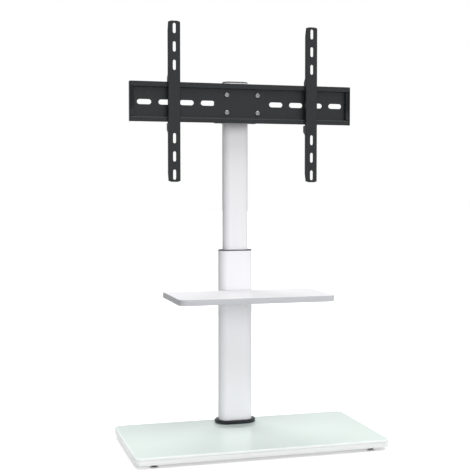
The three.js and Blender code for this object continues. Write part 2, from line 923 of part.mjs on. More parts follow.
function carrierBoltTools(front, back) {
  const length = back - front + 2 * overrun;
  return carrierBoltPlaces.map(([x, z]) => {
    const tool = facingBack(bar(carrierBoltRadius + gap, length));
    return tool.translate(x, front - overrun, z);
  });
}

// A vertical plate with an ear above and below the barrel
function swivelCarrier() {
  const outline = roundedRect(carrierWidth, carrierHeight, carrierCornerRadius);
  const plate = facingBack(raise(outline, carrierThickness, carrierFront, sheetSteps));
  const ear = new THREE.Shape();
  ear.moveTo(-carrierEarRadius, carrierFront + carrierThickness / 2);
  ear.lineTo(carrierEarRadius, carrierFront + carrierThickness / 2);
  ear.absarc(0, 0, carrierEarRadius, 0, Math.PI);
  ear.closePath();
  const ears = [earInner, -earOuter].map((bottom) => raise(ear, carrierEarThickness, bottom, ovalSteps));
  const boreLength = 2 * (earOuter + overrun);
  const bore = bar(pinRadius + pinClearance, boreLength, -boreLength / 2, pivotSides);
  return cut(join([plate, ...ears]), [bore, ...carrierBoltTools(carrierFront, carrierBack)]);
}

// The cross plate's outline in y and z: a web with a step and an upturned or downturned lip at each edge
function crossOutline() {
  const web = crossWebHeight / 2;
  const half = [
    [lipFront, railInner],
    [lipFront, railTop],
    [lipBack, railTop],
    [lipBack, web],
    [carrierFront, web],
  ];
  const mirrored = half.map(([y, z]) => [y, -z]).reverse();
  return polygon([...half, ...mirrored, [webFront, -railInner], [webFront, railInner]].reverse());
}

function crossPlate() {
  const slots = [];
  for (const side of [-1, 1]) {
    for (let index = 0; index < crossSlotCount; index += 1) {
      const slot = portTool(crossSlotLength, crossSlotHeight, 0, crossThickness + overrun, sheetSteps);
      const x = side * (crossSlotStart + index * crossSlotPitch);
      slots.push(slot.translate(x, webFront - overrun, 0));
    }
  }
  const holes = carrierBoltTools(webFront, carrierFront);
  return cut(alongX(crossOutline(), crossWidth), [...slots, ...holes]);
}

// Plastic cap on an end of the cross plate, its plug between the two rails
function crossEndCap() {
  const [y0, y1] = [lipFront, carrierFront];
  const face = box(endCapThickness, y1 - y0, 2 * railTop, endCapThickness / 2, (y0 + y1) / 2, 0);
  const plugDepthY = railReach - 2 * gap;
  const plugY = webFront - gap - plugDepthY / 2;
  const plugHeight = 2 * (railInner - gap);
  const plugLength = endCapPlug + weldOverlap;
  const plug = box(plugLength, plugDepthY, plugHeight, weldOverlap - plugLength / 2, plugY, 0);
  return join([face, plug]);
}

function carrierBolt() {
  const length = crossThickness + carrierThickness + carrierBoltTail;
  return facingFront(socketScrew(carrierBoltRadius, length, carrierBoltHeadRadius, carrierBoltHeadHeight));
}

// Arm

const blockTop = -railTop - footGap;
const blockBottom = blockTop - footBlockHeight;
const tabZ = blockTop - lockTabDrop;
const armLockY = lipBack + armLockRadius + armLockClearance;

// One flange of an arm in y and z: a hook over the top rail, and a block under the bottom rail
function armFlangeOutline() {
  const end = armHeight / 2 - armFlangeInset;
  const hookSeat = railTop + railClearance;
  const hookTop = hookSeat + hookHeight;
  return polygon([
    [armFront, -end],
    [armBack - armTaperDepth, -end],
    [armBack, -end + armTaper],
    [armBack, blockBottom - hookSlope],
    [blockBack, blockBottom],
    [blockBack, blockTop],
    [armBack, blockTop],
    [armBack, hookSeat],
    [hookInner, hookSeat],
    [hookInner, railTop - hookTail],
    [hookBack, railTop - hookTail],
    [hookBack, hookTop],
    [armBack, hookTop + hookSlope],
    [armBack, end - armTaper],
    [armBack - armTaperDepth, end],
    [armFront, end],
  ]);
}

function slotLevels() {
  const levels = [];
  for (let row = 0; row < slotRows; row += 1) {
    const level = slotStart + row * slotPitch;
    levels.push(-level, level);
  }
  return levels;
}

function vesaArm() {
  const outline = roundedRect(armWidth, armHeight, armCornerRadius);
  const web = facingBack(raise(outline, armThickness, armFront, sheetSteps));
  const flangeX = armWidth / 2 - armThickness / 2;
  const flanges = [-flangeX, flangeX].map((x) => {
    return alongX(armFlangeOutline(), armThickness).translate(x, 0, 0);
  });
  const tab = box(
    armWidth - armThickness,
    footBlockReach,
    lockTabThickness,
    0,
    armBack + footBlockReach / 2,
    tabZ,
  );
  const slots = slotLevels().map((level) => {
    const slot = raise(flatOval(slotLength, slotWidth), armThickness + 2 * overrun, 0, sheetSteps);
    return facingBack(slot.rotateZ(Math.PI / 2)).translate(0, armFront - overrun, level);
  });
  const tappedLength = lockTabThickness + 2 * overrun;
  const tapped = bar(armLockRadius + gap, tappedLength, tabZ - tappedLength / 2);
  return cut(join([web, ...flanges, tab]), [...slots, tapped.translate(0, armLockY, 0)]);
}

// Thumb screw under the tab: its tip stands behind the bottom rail's lip
function armLock() {
  const length = -railTop + armLockRise - tabZ + lockTabThickness / 2;
  return turned([
    [0, -armLockHeadHeight],
    [armLockHeadRadius, -armLockHeadHeight],
    [armLockHeadRadius, 0],
    [armLockRadius, 0],
    [armLockRadius, length],
    [0, length],
  ], screwSides);
}

function makeArm(name, side) {
  const group = new THREE.Group();
  group.position.set(side * armSpacing / 2, 0, 0);
  const lock = piece(`${name}_lock_screw`, armLock(), 'blackPlastic');
  lock.position.set(0, armLockY, tabZ - lockTabThickness / 2);
  group.add(piece(name, vesaArm(), 'blackSteel'), lock);
  return group;
}

function makeHead() {
  const group = new THREE.Group();
  const upperWasher = piece('pivot_washer_upper', pivotWasher(), 'nylon');
  upperWasher.position.z = barrelHeight / 2;
  const lowerWasher = piece('pivot_washer_lower', pivotWasher(), 'nylon');
  lowerWasher.position.z = -earInner;
  const rightCap = piece('cross_end_cap_right', crossEndCap(), 'blackPlastic');
  rightCap.position.x = crossWidth / 2;
  const leftCap = piece('cross_end_cap_left', crossEndCap(), 'blackPlastic');
  leftCap.position.x = -crossWidth / 2;
  leftCap.position.y = lipFront + carrierFront;
  leftCap.rotation.z = Math.PI;
  group.add(
    piece('pivot_pin', pivotPin(), 'zincSteel'),
    piece('pivot_nut', pivotNut(), 'zincSteel'),
    upperWasher,
    lowerWasher,
    piece('swivel_carrier', swivelCarrier(), 'blackSteel'),
    piece('cross_plate', crossPlate(), 'blackSteel'),
    rightCap,
    leftCap,
    makeArm('arm_left', -1),
    makeArm('arm_right', 1),
  );
  carrierBoltPlaces.forEach(([x, z], index) => {
    const bolt = piece(`carrier_bolt_${index + 1}`, carrierBolt(), 'zincSteel');
    bolt.position.set(x, webFront, z);
    group.add(bolt);
  });
  return group;
}

const stand = new THREE.Group();
stand.name = 'television_stand';
stand.add(makeBase(), makeColumn(), makeShelf(), makeMast());

export default stand;
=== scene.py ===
import math
from collections import namedtuple

import bpy
import numpy as np
from bpy.props import FloatProperty, FloatVectorProperty, IntProperty, PointerProperty
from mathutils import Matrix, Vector


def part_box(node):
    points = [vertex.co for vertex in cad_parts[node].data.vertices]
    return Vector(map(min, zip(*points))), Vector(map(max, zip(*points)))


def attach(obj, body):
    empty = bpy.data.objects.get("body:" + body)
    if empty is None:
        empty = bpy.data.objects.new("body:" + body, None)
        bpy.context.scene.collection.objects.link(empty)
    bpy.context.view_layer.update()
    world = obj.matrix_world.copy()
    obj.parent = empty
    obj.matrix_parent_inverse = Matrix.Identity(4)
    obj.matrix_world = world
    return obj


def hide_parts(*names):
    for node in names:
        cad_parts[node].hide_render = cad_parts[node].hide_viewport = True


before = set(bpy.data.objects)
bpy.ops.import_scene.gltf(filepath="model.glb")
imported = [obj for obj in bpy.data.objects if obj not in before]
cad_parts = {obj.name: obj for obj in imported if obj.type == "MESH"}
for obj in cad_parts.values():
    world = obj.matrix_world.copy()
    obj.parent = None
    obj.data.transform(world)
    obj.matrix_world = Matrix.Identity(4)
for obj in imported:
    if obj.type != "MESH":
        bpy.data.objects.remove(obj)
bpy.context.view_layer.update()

bl_info = {
    "name": "Television floor stand",
    "version": (1, 0, 0),
    "blender": (4, 5, 0),
    "location": "View3D > Sidebar > Stand",
    "description": "Builds the finished surfaces of a floor stand: glass base, column, shelf, swivel head",
    "category": "Add Mesh",
}

FULL, HALF, QUARTER = 2 * math.pi, math.pi, math.pi / 2     # turns in radians
Box = namedtuple("Box", "low high middle size")


def linear(hex_colour):
    """An sRGB hex colour as linear red, green and blue."""
    channels = np.array([int(hex_colour[i:i + 2], 16) for i in (1, 3, 5)]) / 255
    values = np.where(channels <= 0.04045, channels / 12.92, ((channels + 0.055) / 1.055) ** 2.4)
    return tuple(values.tolist())


def span(node):
    """The box of a node, as arrays."""
    low, high = (np.array(corner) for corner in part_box(node))
    return Box(low, high, (low + high) / 2, high - low)


# Settings a user would change

def distance(name, description, default):
    return FloatProperty(name=name, description=description, default=default, min=0, subtype="DISTANCE",
                         unit="LENGTH", precision=5)


def amount(name, description, default, least=0):
    return FloatProperty(name=name, description=description, default=default, min=least)


def angle(name, description, degrees):
    return FloatProperty(name=name, description=description, default=math.radians(degrees), subtype="ANGLE",
                         unit="ROTATION")


def colour(name, description, hex_colour):
    return FloatVectorProperty(name=name, description=description, default=linear(hex_colour), size=3,
                               min=0, max=1, subtype="COLOR")


def count(name, description, default):
    return IntProperty(name=name, description=description, default=default, min=1)


class StandSizes(bpy.types.PropertyGroup):
    """Radii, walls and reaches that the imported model's boxes don't tell."""
    tube_wall: distance("Tube wall", "Wall of both column tubes", 0.002)
    fit: distance("Fit", "Clearance between pieces inside each other", 0.0003)
    base_corner: distance("Base corner", "Corner radius of the glass and the board", 0.018)
    glass_edge: distance("Glass edge", "Radius of the polished edges of the glass", 0.0026)
    board_edge: distance("Board edge", "Softened edge of the base board", 0.0007)
    shelf_front: distance("Shelf front corner", "Radius of the shelf's front corners", 0.024)
    shelf_back: distance("Shelf back corner", "Radius of the shelf's back corners", 0.003)
    shelf_edge: distance("Shelf edge", "Softened edge of the shelf", 0.0009)
    band: distance("Edge band", "Thickness of the band glued round the shelf", 0.002)
    collar_wall: distance("Collar wall", "Height of the collar's upright outer wall", 0.0080)
    collar_rise: distance("Collar rise", "Height of the collar at the tube", 0.0102)
    collar_edge: distance("Collar edge", "Radius between the collar's wall and its sloped top", 0.0012)
    collar_lip: distance("Collar lip", "Thickness of the collar's lip at the tube", 0.003)
    collar_skirt: distance("Collar skirt", "Thickness of the collar's outer wall", 0.0025)
    bushing_edge: distance("Bushing edge", "Radius of the dark ring's upper edge", 0.0012)
    cap_lid: distance("Cap lid", "Height of the lid on the upper tube", 0.004)
    cap_edge: distance("Cap edge", "Radius of the lid's upper edge", 0.0025)
    grommet_flange: distance("Grommet flange", "Reach of a grommet's flange past its port", 0.003)
    grommet_wall: distance("Grommet wall", "Wall of a grommet inside its port", 0.0017)
    grommet_face: distance("Grommet face", "Thickness of a grommet's flange", 0.002)
    slider_duct_width: distance("Slider duct width", "Width of the duct in the slider", 0.040)
    slider_duct_depth: distance("Slider duct depth", "Depth of the duct in the slider", 0.020)
    slider_skirt: distance("Slider skirt", "Height of the slider below the upper tube", 0.030)
    shelf_clamp_wall: distance("Shelf clamp wall", "Wall of the clamp round the lower tube", 0.003)
    shelf_clamp_ear: distance("Shelf clamp ear", "Thickness of the shelf clamp's ears", 0.004)
    shelf_plate: distance("Shelf plate", "Thickness of the plate under the shelf", 0.003)
    gusset: distance("Gusset", "Thickness of a gusset under the shelf", 0.003)
    gusset_spacing: distance("Gusset spacing", "Distance between the two gussets", 0.036)
    gusset_length: distance("Gusset length", "Length of a gusset in front of the clamp", 0.090)
    gusset_nose: distance("Gusset nose", "Height of a gusset at its front end", 0.003)
    mast_clamp_wall: distance("Mast clamp wall", "Wall of the clamp round the upper tube", 0.004)
    mast_clamp_ear: distance("Mast clamp ear", "Thickness of the mast clamp's ears", 0.005)
    clamp_split: distance("Clamp split", "Gap between the two halves of a clamp", 0.002)
    barrel_radius: distance("Barrel radius", "Outer radius of the swivel barrel", 0.014)
    barrel_height: distance("Barrel height", "Height of the swivel barrel", 0.060)
    rib_width: distance("Rib width", "Width of the rib that carries the barrel", 0.020)
    pin_radius: distance("Pin radius", "Radius of the swivel pin", 0.006)
    pin_head: distance("Pin head", "Height of the swivel pin's head", 0.005)
    pin_clearance: distance("Pin clearance", "Clearance of the pin in its bores", 0.0002)
    carrier_plate: distance("Carrier plate", "Thickness of the carrier's plate and ears", 0.004)
    carrier_ear: distance("Carrier ear", "Radius of the carrier's ears", 0.018)
    cross_wall: distance("Cross plate wall", "Thickness of the cross plate's sheet", 0.0025)
    cross_bend: distance("Cross plate bend", "Outer bend radius of the cross plate", 0.004)
    cross_web: distance("Cross plate web", "Height of the cross plate between its rails", 0.086)
    arm_wall: distance("Arm wall", "Thickness of an arm's sheet", 0.002)
    arm_bend: distance("Arm bend", "Outer bend radius of an arm", 0.003)
    metal_edge: distance("Metal edge", "Softening of cut metal edges", 0.0004)
    weld: distance("Weld", "Radius of a weld bead", 0.0018)
    film: distance("Film", "Grease between a washer and what turns on it", 0.00003)
    pad_rise: distance("Pad rise", "Height of a foot's pad at its neck", 0.0032)
    oval_steps: count("Oval steps", "Steps round each half circle of a tube", 28)
    corner_steps: count("Corner steps", "Steps round each corner of a board", 16)
    edge_steps: count("Edge steps", "Steps round each softened edge", 4)
    turn_steps: count("Turn steps", "Steps round each turned piece", 48)


class StandColours(bpy.types.PropertyGroup):
    """Colours of the finishes."""
    glass: colour("Glass", "Back-painted glass seen from above", "#EAF6F1")
    # The rim's near-white colour is partly painted glow, standing in for light that the glass sheet carries
    # to its edge
    glass_rim: colour("Glass rim", "Polished edge of the glass", "#FAFFFD")
    board: colour("Board", "White lacquer of the base board", "#F9FBFB")
    column: colour("Column", "White powder coat of the column", "#F0EFF2")
    shelf: colour("Shelf", "White face of the shelf", "#F5F5F7")
    shelf_band: colour("Shelf band", "Pale grey edge band of the shelf", "#CBCCD0")
    collar: colour("Collar", "Near-black plastic of the collar", "#12171A")
    bushing: colour("Bushing", "Dark grey plastic of the bushing", "#56585C")
    head: colour("Head", "Black powder coat of the mount head", "#232527")
    zinc: colour("Zinc", "Zinc plated steel", "#C3C6C8")
    pad: colour("Pad", "Pale foot pad", "#F2F2F2")
    oxide: colour("Oxide", "Black oxide on the foot's stem", "#08090A")
    nylon: colour("Nylon", "Natural nylon", "#E6E3DA")
    rubber: colour("Rubber", "Gasket rubber", "#2A2C2E")


class StandStage(bpy.types.PropertyGroup):
    """The camera's place and the studio's light."""
    camera_place: FloatVectorProperty(name="Camera place", description="Where the camera stands", size=3,
                                      default=(-0.7639, -2.5516, 0.7054), subtype="XYZ", unit="LENGTH")
    camera_yaw: angle("Camera yaw", "Turn of the view to the right of +Y", 15.86)
    camera_pitch: angle("Camera pitch", "Tilt of the view above the horizon", -2.61)
    focal_pixels: amount("Focal length in pixels", "Fitted to the photograph", 960.5, 1)
    frame_pixels: amount("Frame in pixels", "Side of the square frame", 470, 1)
    sensor: amount("Sensor", "Sensor width in millimetres", 36, 1)
    ambient: amount("Ambient", "Strength of the room's light", 0.25)
    right_room: amount("Right of the room", "How much brighter the room is on the right", 0.2, -1)
    mirrored: amount("Mirrored room", "Strength of the room in reflections", 0.46)
    level_light: amount("Level light", "Irradiance of the light in front at eye level", 1.86)
    front_light: amount("Front light", "Irradiance of the light high in front, for the highlights", 1.18)
    back_light: amount("Back light", "Irradiance of the light high behind", 2.08)
    low_light: amount("Low light", "Power of the strip light on the floor at the left", 0.18)
    floor_side: distance("Floor side", "Length of the floor's side", 60.0)
    floor_grey: amount("Floor grey", "Grey of the floor where it lights the object", 0.4)
    floor_lift: amount("Floor lift", "Glow that whitens the floor straight on", 0.44)
    floor_mirrored: amount("Mirrored floor", "Share of the white floor in reflections", 0.4)


# Outlines in the plane: rows of x, y and the outward normal's x and y

def corners_outline(corners, sweep, steps):
    """Round corners joined by straight lines. A corner (cx, cy, radius, start) is the arc
    c + radius (cos a, sin a), where a runs over sweep from start."""
    cx, cy, radius, start = (np.asarray(column, float)[:, None] for column in zip(*corners))
    turn = start + np.linspace(0, sweep, steps + 1)[None, :]
    nx, ny = np.cos(turn), np.sin(turn)
    return np.stack([cx + radius * nx, cy + radius * ny, nx, ny], axis=2).reshape(-1, 4)


def rounded_rect(width, depth, front, steps, back=None):
    """A rectangle about the origin with quarter-circle corners: front at -y, and back, or front, at +y."""
    x, y, back = width / 2, depth / 2, front if back is None else back
    corners = [
        (x - front, front - y, front, -QUARTER), (x - back, y - back, back, 0),
        (back - x, y - back, back, QUARTER), (front - x, front - y, front, HALF),
    ]
    return corners_outline(corners, QUARTER, steps)


def flat_oval(size, steps):
    """Two half circles joined by straight lines along x. size starts with width and depth."""
    radius = size[1] / 2
    reach = size[0] / 2 - radius
    return corners_outline([(reach, 0, radius, -QUARTER), (-reach, 0, radius, QUARTER)], HALF, steps)


def circle(radius, steps):
    """A circle: radius (cos a, sin a) for one full turn of a."""
    turn = np.arange(steps) / steps * FULL
    return np.stack([radius * np.cos(turn), radius * np.sin(turn), np.cos(turn), np.sin(turn)], axis=1)


def rounded(corners, steps):
    """A path through corners (x, y), or (x, y, radius) where it turns in an arc. At such a corner p between
    unit directions a (in) and b (out) the arc starts r tan(t/2) before p, where t is the turn, and rotates
    a into b about its centre."""
    points = np.array([corner[:2] for corner in corners], float)
    pieces = []
    for k, corner in enumerate(corners):
        if len(corner) == 2:
            pieces.append(points[k:k + 1])
            continue
        before, after = points[k] - points[k - 1], points[(k + 1) % len(points)] - points[k]
        before, after = before / np.linalg.norm(before), after / np.linalg.norm(after)
        turn = math.atan2(before[0] * after[1] - before[1] * after[0], before @ after)
        radius, side = corner[2], np.array([-before[1], before[0]]) * math.copysign(1, turn)
        centre = points[k] - before * (radius * math.tan(abs(turn) / 2)) + side * radius
        swing = np.linspace(0, turn, steps + 1)[:, None]
        pieces.append(centre - side * radius * np.cos(swing) + before * radius * np.sin(abs(swing)))
    return np.concatenate(pieces)


# Solids: a pair of a vertex array and a list of faces

BLOCK_STEPS = 6      # grid steps along each side of the block of cells that a hole is cut from
SNAP = 7             # decimals to which grid values are rounded, so that equal ones merge
WELD_SIDES = 10      # sides of a weld bead
WELD_RIPPLE = 0.1    # swelling of a weld bead's ripples, as a share of its radius
WELD_WAVE = 3        # how fast those ripples run along it, in radians per radius
WELD_TIP = 0.02      # share of a bead's length at which its tips are cut flat
OBLIQUE = (0.3, 0.5, 0.8)       # a direction along which no weld runs


def quads(rows, columns, around=False):
    """Faces of a grid whose columns close on themselves, and with around its rows too."""
    j = np.arange(rows if around else rows - 1)[:, None] * columns
    i = np.arange(columns)[None, :]
    above, turn = (j + columns) % (rows * columns), (i + 1) % columns
    return np.stack([j + i, j + turn, above + turn, above + i], axis=2).reshape(-1, 4).tolist()


def end_faces(rows, columns):
    """The flat faces that close a stack of rings below and above."""
    last = (rows - 1) * columns
    return [list(range(columns - 1, -1, -1)), list(range(last, last + columns))]


def swept(outline, profile, closed=False):
    """P(u, v) = outline(u) + offset(v) normal(u), lifted to level(v). profile holds (offset, level) from the
    bottom to the top. A closed profile makes a ring, an open one gets a flat face at each end."""
    profile = np.asarray(profile, float)
    flat = outline[None, :, :2] + outline[None, :, 2:] * profile[:, None, :1]
    level = np.broadcast_to(profile[:, None, 1:], (*flat.shape[:2], 1))
    faces = quads(len(profile), len(outline), closed)
    if not closed:
        faces += end_faces(len(profile), len(outline))
    return np.concatenate([flat, level], axis=2).reshape(-1, 3), faces


def stacked(rings):
    """A ring-shaped solid through rings (outline, offset, level) that have outlines of their own. The last
    ring joins the first."""
    points = [
        np.column_stack([outline[:, :2] + outline[:, 2:] * offset, np.full(len(outline), level)])
        for outline, offset, level in rings
    ]
    return np.concatenate(points), quads(len(rings), len(rings[0][0]), around=True)


def soft_rim(edge, steps):
    """A quarter circle of radius edge: (offset, level) from a flat face's border out to an upright side."""
    turn = np.linspace(0, QUARTER, steps + 1)
    return np.stack([-edge * (1 - np.sin(turn)), edge * (1 - np.cos(turn))], axis=1)


def mirrored_profile(lower, low, high):
    """A slab's profile from its lower rim, which is mirrored for the upper one."""
    return np.concatenate([lower + (0, low), lower[::-1] * (1, -1) + (0, high)])


def slab(outline, low, high, edge, steps):
    """A plate between two levels whose rims are quarter circles of radius edge."""
    return swept(outline, mirrored_profile(soft_rim(edge, steps), low, high))


def ring(outline, corners, steps):
    """A closed profile of corners (offset, level) or (offset, level, radius), carried round the outline."""
    return swept(outline, rounded(corners, steps), closed=True)


def washer(bore, radius, low, high, bore_edge, edge, steps, around):
    """A round ring between two radii and two levels, with softened edges inside and outside."""
    reach = radius - bore
    return ring(circle(bore, around), [(0, low, bore_edge), (reach, low, edge), (reach, high, edge),
                                       (0, high, bore_edge)], steps)


def turned(profile, steps, hexes=(), bore=False):
    """P(u, v) = r(v) h(u, v) (cos u, sin u) at level z(v). profile holds (radius, level) from the bottom to
    the top. On the rows in hexes, h squeezes the circle to a hexagon, cos 30 / cos(u mod 60 - 30). With
    bore the profile closes on itself and leaves a hole."""
    profile = np.asarray(profile, float)
    turn = np.arange(steps) / steps * FULL
    shape = np.ones((len(profile), steps))
    shape[list(hexes)] = math.cos(HALF / 6) / np.cos(np.mod(turn, HALF / 3) - HALF / 6)
    radius = profile[:, :1] * shape
    level = np.broadcast_to(profile[:, 1:], radius.shape)
    points = np.stack([radius * np.cos(turn), radius * np.sin(turn), level], axis=2).reshape(-1, 3)
    return points, quads(len(profile), steps, bore) + ([] if bore else end_faces(len(profile), steps))


def thread(radius, pitch, depth, start, steps):
    """A thread's profile as ridges, one every pitch from start up. depth is a share of the pitch."""
    return [(radius - pitch * depth * (k % 2), start + k * pitch / 2) for k in steps]


def extruded(outline, low, high):
    """A plane outline, anticlockwise, raised from low to high."""
    outline = np.asarray(outline, float)[:, :2]
    rings = [np.column_stack([outline, np.full(len(outline), level)]) for level in (low, high)]
    return np.concatenate(rings), quads(2, len(outline)) + end_faces(2, len(outline))


def slot_reach(cosine, sine, straight, radius):
    """How far a slot's outline lies from its middle in a direction. The slot is a straight stretch of
    half length straight along s, with half circles of that radius at its ends."""
    flat = radius / np.maximum(np.abs(sine), 1e-9)
    round_end = straight * np.abs(cosine) + np.sqrt(np.maximum(radius ** 2 - (straight * sine) ** 2, 0))
    return np.where(flat * np.abs(cosine) <= straight, flat, round_end)


def sheet_metal(s, t, holes, shape, wall, wrap=False, flaps=()):
    """A sheet (s, t) bent by shape(s, t, depth) and given a wall. Each hole (s, t, straight, radius, upright,
    half_s, half_t) is cut from the cells of its block, and its rim joins the block's rim point by point. With
    wrap the sheet closes on itself along s. flaps are outlines that widen the sheet past its two sides."""
    columns, rows = len(s), len(t)
    total = rows * columns
    index = np.arange(total).reshape(rows, columns)
    grid = np.stack([part.ravel() for part in np.meshgrid(s, t)], axis=1)
    kept = np.ones((rows - 1, columns if wrap else columns - 1), bool)
    more, faces, loops = [], [], []
    for hole_s, hole_t, straight, radius, upright, half_s, half_t in holes:
        c0, c1 = (int(np.argmin(abs(s - hole_s - side * half_s))) for side in (-1, 1))
        r0, r1 = (int(np.argmin(abs(t - hole_t - side * half_t))) for side in (-1, 1))
        kept[r0:r1, c0:c1] = False
        rim = np.concatenate([index[r0, c0:c1], index[r0:r1, c1], index[r1, c1:c0:-1], index[r1:r0:-1, c0]])
        away = grid[rim] - (hole_s, hole_t)
        away /= np.linalg.norm(away, axis=1)[:, None]
        along, across = away.T[::-1] if upright else away.T
        inner = total + np.arange(len(rim))
        faces += np.stack([rim, np.roll(rim, -1), np.roll(inner, -1), inner], axis=1).tolist()
        more.append(away * slot_reach(along, across, straight, radius)[:, None] + (hole_s, hole_t))
        loops.append(inner)
        total += len(rim)
    r, c = np.nonzero(kept)
    turn = (c + 1) % columns
    faces += np.stack([index[r, c], index[r, turn], index[r + 1, turn], index[r + 1, c]], axis=1).tolist()
    if wrap:
        loops += [index[0][::-1], index[-1]]
    else:
        sides = [index[:, -1], index[::-1, 0]]
        for k, flap in enumerate(flaps):
            extra = total + np.arange(len(flap))
            faces.append([*extra.tolist(), *sides[k][::-1].tolist()])
            more.append(flap)
            total += len(flap)
            sides[k] = np.concatenate([sides[k][:1], extra, sides[k][-1:]])
        loops.append(np.concatenate([index[0], sides[0][1:], index[-1][-2::-1], sides[1][1:-1]])[::-1])
    flat = np.concatenate([grid, *more])
    vertices = np.concatenate([shape(flat[:, 0], flat[:, 1], depth) for depth in (0, wall)])
    inside = [[corner + total for corner in reversed(face)] for face in faces]
    for loop in loops:
        ahead = np.roll(loop, -1)
        faces += np.stack([loop, ahead, ahead + total, loop + total], axis=1).tolist()
    return vertices, faces + inside


def with_blocks(low, high, blocks, spacing):
    """Grid values from low to high that include every block's edges and, in a block, even steps."""
    marks = [low, high]
    for middle, half in blocks:
        marks += np.linspace(middle - half, middle + half, BLOCK_STEPS + 1).tolist()
    marks = np.unique(np.round(marks, SNAP))
    filled = [
        np.linspace(a, b, max(1, math.ceil((b - a) / spacing)), endpoint=False)
        for a, b in zip(marks[:-1], marks[1:])
    ]
    return np.concatenate([*filled, marks[-1:]])


def bead(start, end, radius):
    """A weld bead: a tube along a line whose radius swells with each ripple of the weld, and shrinks to
    nothing at both ends like the fourth root of a sine."""
    start, end = np.asarray(start, float), np.asarray(end, float)
    length = np.linalg.norm(end - start)
    along = (end - start) / length
    across = np.cross(along, OBLIQUE)
    across /= np.linalg.norm(across)
    third = np.cross(along, across)
    rows = max(8, math.ceil(length / radius))
    share = np.linspace(WELD_TIP, 1 - WELD_TIP, rows)
    ripple = 1 + WELD_RIPPLE * np.sin(share * length / radius * WELD_WAVE)
    swell = radius * np.sin(HALF * share) ** 0.25 * ripple
    turn = np.arange(WELD_SIDES) / WELD_SIDES * FULL
    round_part = np.cos(turn)[:, None] * across + np.sin(turn)[:, None] * third
    points = start + along * (share * length)[:, None, None] + swell[:, None, None] * round_part[None]
    return points.reshape(-1, 3), quads(rows, WELD_SIDES) + end_faces(rows, WELD_SIDES)


def moved(solid, offset):
    """Moves a solid by an offset."""
    return solid[0] + np.asarray(offset, float), solid[1]


def seated(solid, box, level=0):
    """Moves a solid from the z axis to the middle of a box in plan, and up by level."""
    return moved(solid, (*box.middle[:2], level))


def lying(box, outline, edge, steps):
    """A slab of this outline, as high as a box and over the middle of it."""
    return seated(slab(outline, box.low[2], box.high[2], edge, steps), box)


def aimed(solid, direction):
    """Turns a solid so that its +z looks along another axis."""
    x, y, z = solid[0].T
    views = {"+Z": (x, y, z), "-Z": (x, -y, -z), "+Y": (x, z, -y), "-Y": (x, -z, y)}
    return np.stack(views[direction], axis=1), solid[1]


def along_x(solid):
    """Turns a solid drawn in y and z and raised along x: its x, y, z become y, z, x."""
    return solid[0][:, [2, 0, 1]], solid[1]


# Materials, whose patterns have real sizes in millimetres

MM = 0.001
DRIFT, DUST, ROLLER, CLOUD = 90, 120, 250, 4    # widths of the patches of tone, dust, roller wave and zinc
WEAR, GLASS_DRIFT = 0.08, 0.015     # how far a coat's roughness and the glass's colour drift, as shares
CLEAN, DUSTY = 0.7, 1.5             # the glass's least and greatest roughness, as shares
SPANGLE = 0.82                      # how bright the darkest of the zinc's clouds are, as a share
GRAIN_SHALLOW = 12                  # how many times wider than deep a moulded grain is


def add(tree, kind, settings=None, links=None):
    """Adds a node. settings go to its properties or, by name or number, to its inputs; links join inputs to
    outputs."""
    node = tree.nodes.new(kind)
    for name, value in (settings or {}).items():
        if isinstance(name, str) and hasattr(node, name):
            setattr(node, name, value)
        else:
            node.inputs[name].default_value = value
    for name, source in (links or {}).items():
        tree.links.new(source, node.inputs[name])
    return node


def new_material(name):
    """An empty material with its output, its tree and the object's own coordinates."""
    material = bpy.data.materials.new(name)
    material.use_nodes = True
    tree = material.node_tree
    tree.nodes.clear()
    output = add(tree, "ShaderNodeOutputMaterial")
    return material, tree, output, add(tree, "ShaderNodeTexCoord").outputs["Object"]


def repeats(width):
    """How often a pattern of this width in millimetres comes in a metre."""
    return 1 / (width * MM)


def shade(base, share):
    """A darker or lighter shade of the base colour, as red, green, blue and alpha."""
    return (*[min(1.0, channel * share) for channel in base], 1)


def coated(name, base, roughness, peel, depth, mottle=0.02, grain=0.0, specular=0.5):
    """A painted, lacquered or moulded surface. peel is the width of its orange peel and depth that peel's
    depth. mottle is how far the colour drifts, and grain the width of a fine moulded grain: a real one is
    finer still, and is drawn as coarse as it needs to show."""
    material, tree, output, place = new_material(name)
    drift = add(tree, "ShaderNodeTexNoise", {"Scale": repeats(DRIFT), "Detail": 3.0},
                {"Vector": place}).outputs["Fac"]
    tone = add(tree, "ShaderNodeMix", {
        "data_type": "RGBA", 6: shade(base, 1 - mottle), 7: shade(base, 1 + mottle),
    }, {"Factor": drift})
    wear = add(tree, "ShaderNodeMapRange",
               {"To Min": roughness * (1 - WEAR), "To Max": roughness * (1 + WEAR)}, {"Value": drift})
    waves = add(tree, "ShaderNodeTexNoise", {"Scale": repeats(peel), "Detail": 2.0}, {"Vector": place})
    bump = add(tree, "ShaderNodeBump", {"Strength": 0.35, "Distance": depth * MM},
               {"Height": waves.outputs["Fac"]})
    if grain:
        speck = add(tree, "ShaderNodeTexVoronoi", {"Scale": repeats(grain)}, {"Vector": place})
        bump = add(tree, "ShaderNodeBump", {"Strength": 0.4, "Distance": grain * MM / GRAIN_SHALLOW},
                   {"Height": speck.outputs["Distance"], "Normal": bump.outputs["Normal"]})
    surface = add(tree, "ShaderNodeBsdfPrincipled", {"IOR": 1.5, "Specular IOR Level": specular},
                  {"Base Color": tone.outputs[2], "Roughness": wear.outputs["Result"],
                   "Normal": bump.outputs["Normal"]})
    tree.links.new(surface.outputs["BSDF"], output.inputs["Surface"])
    return material


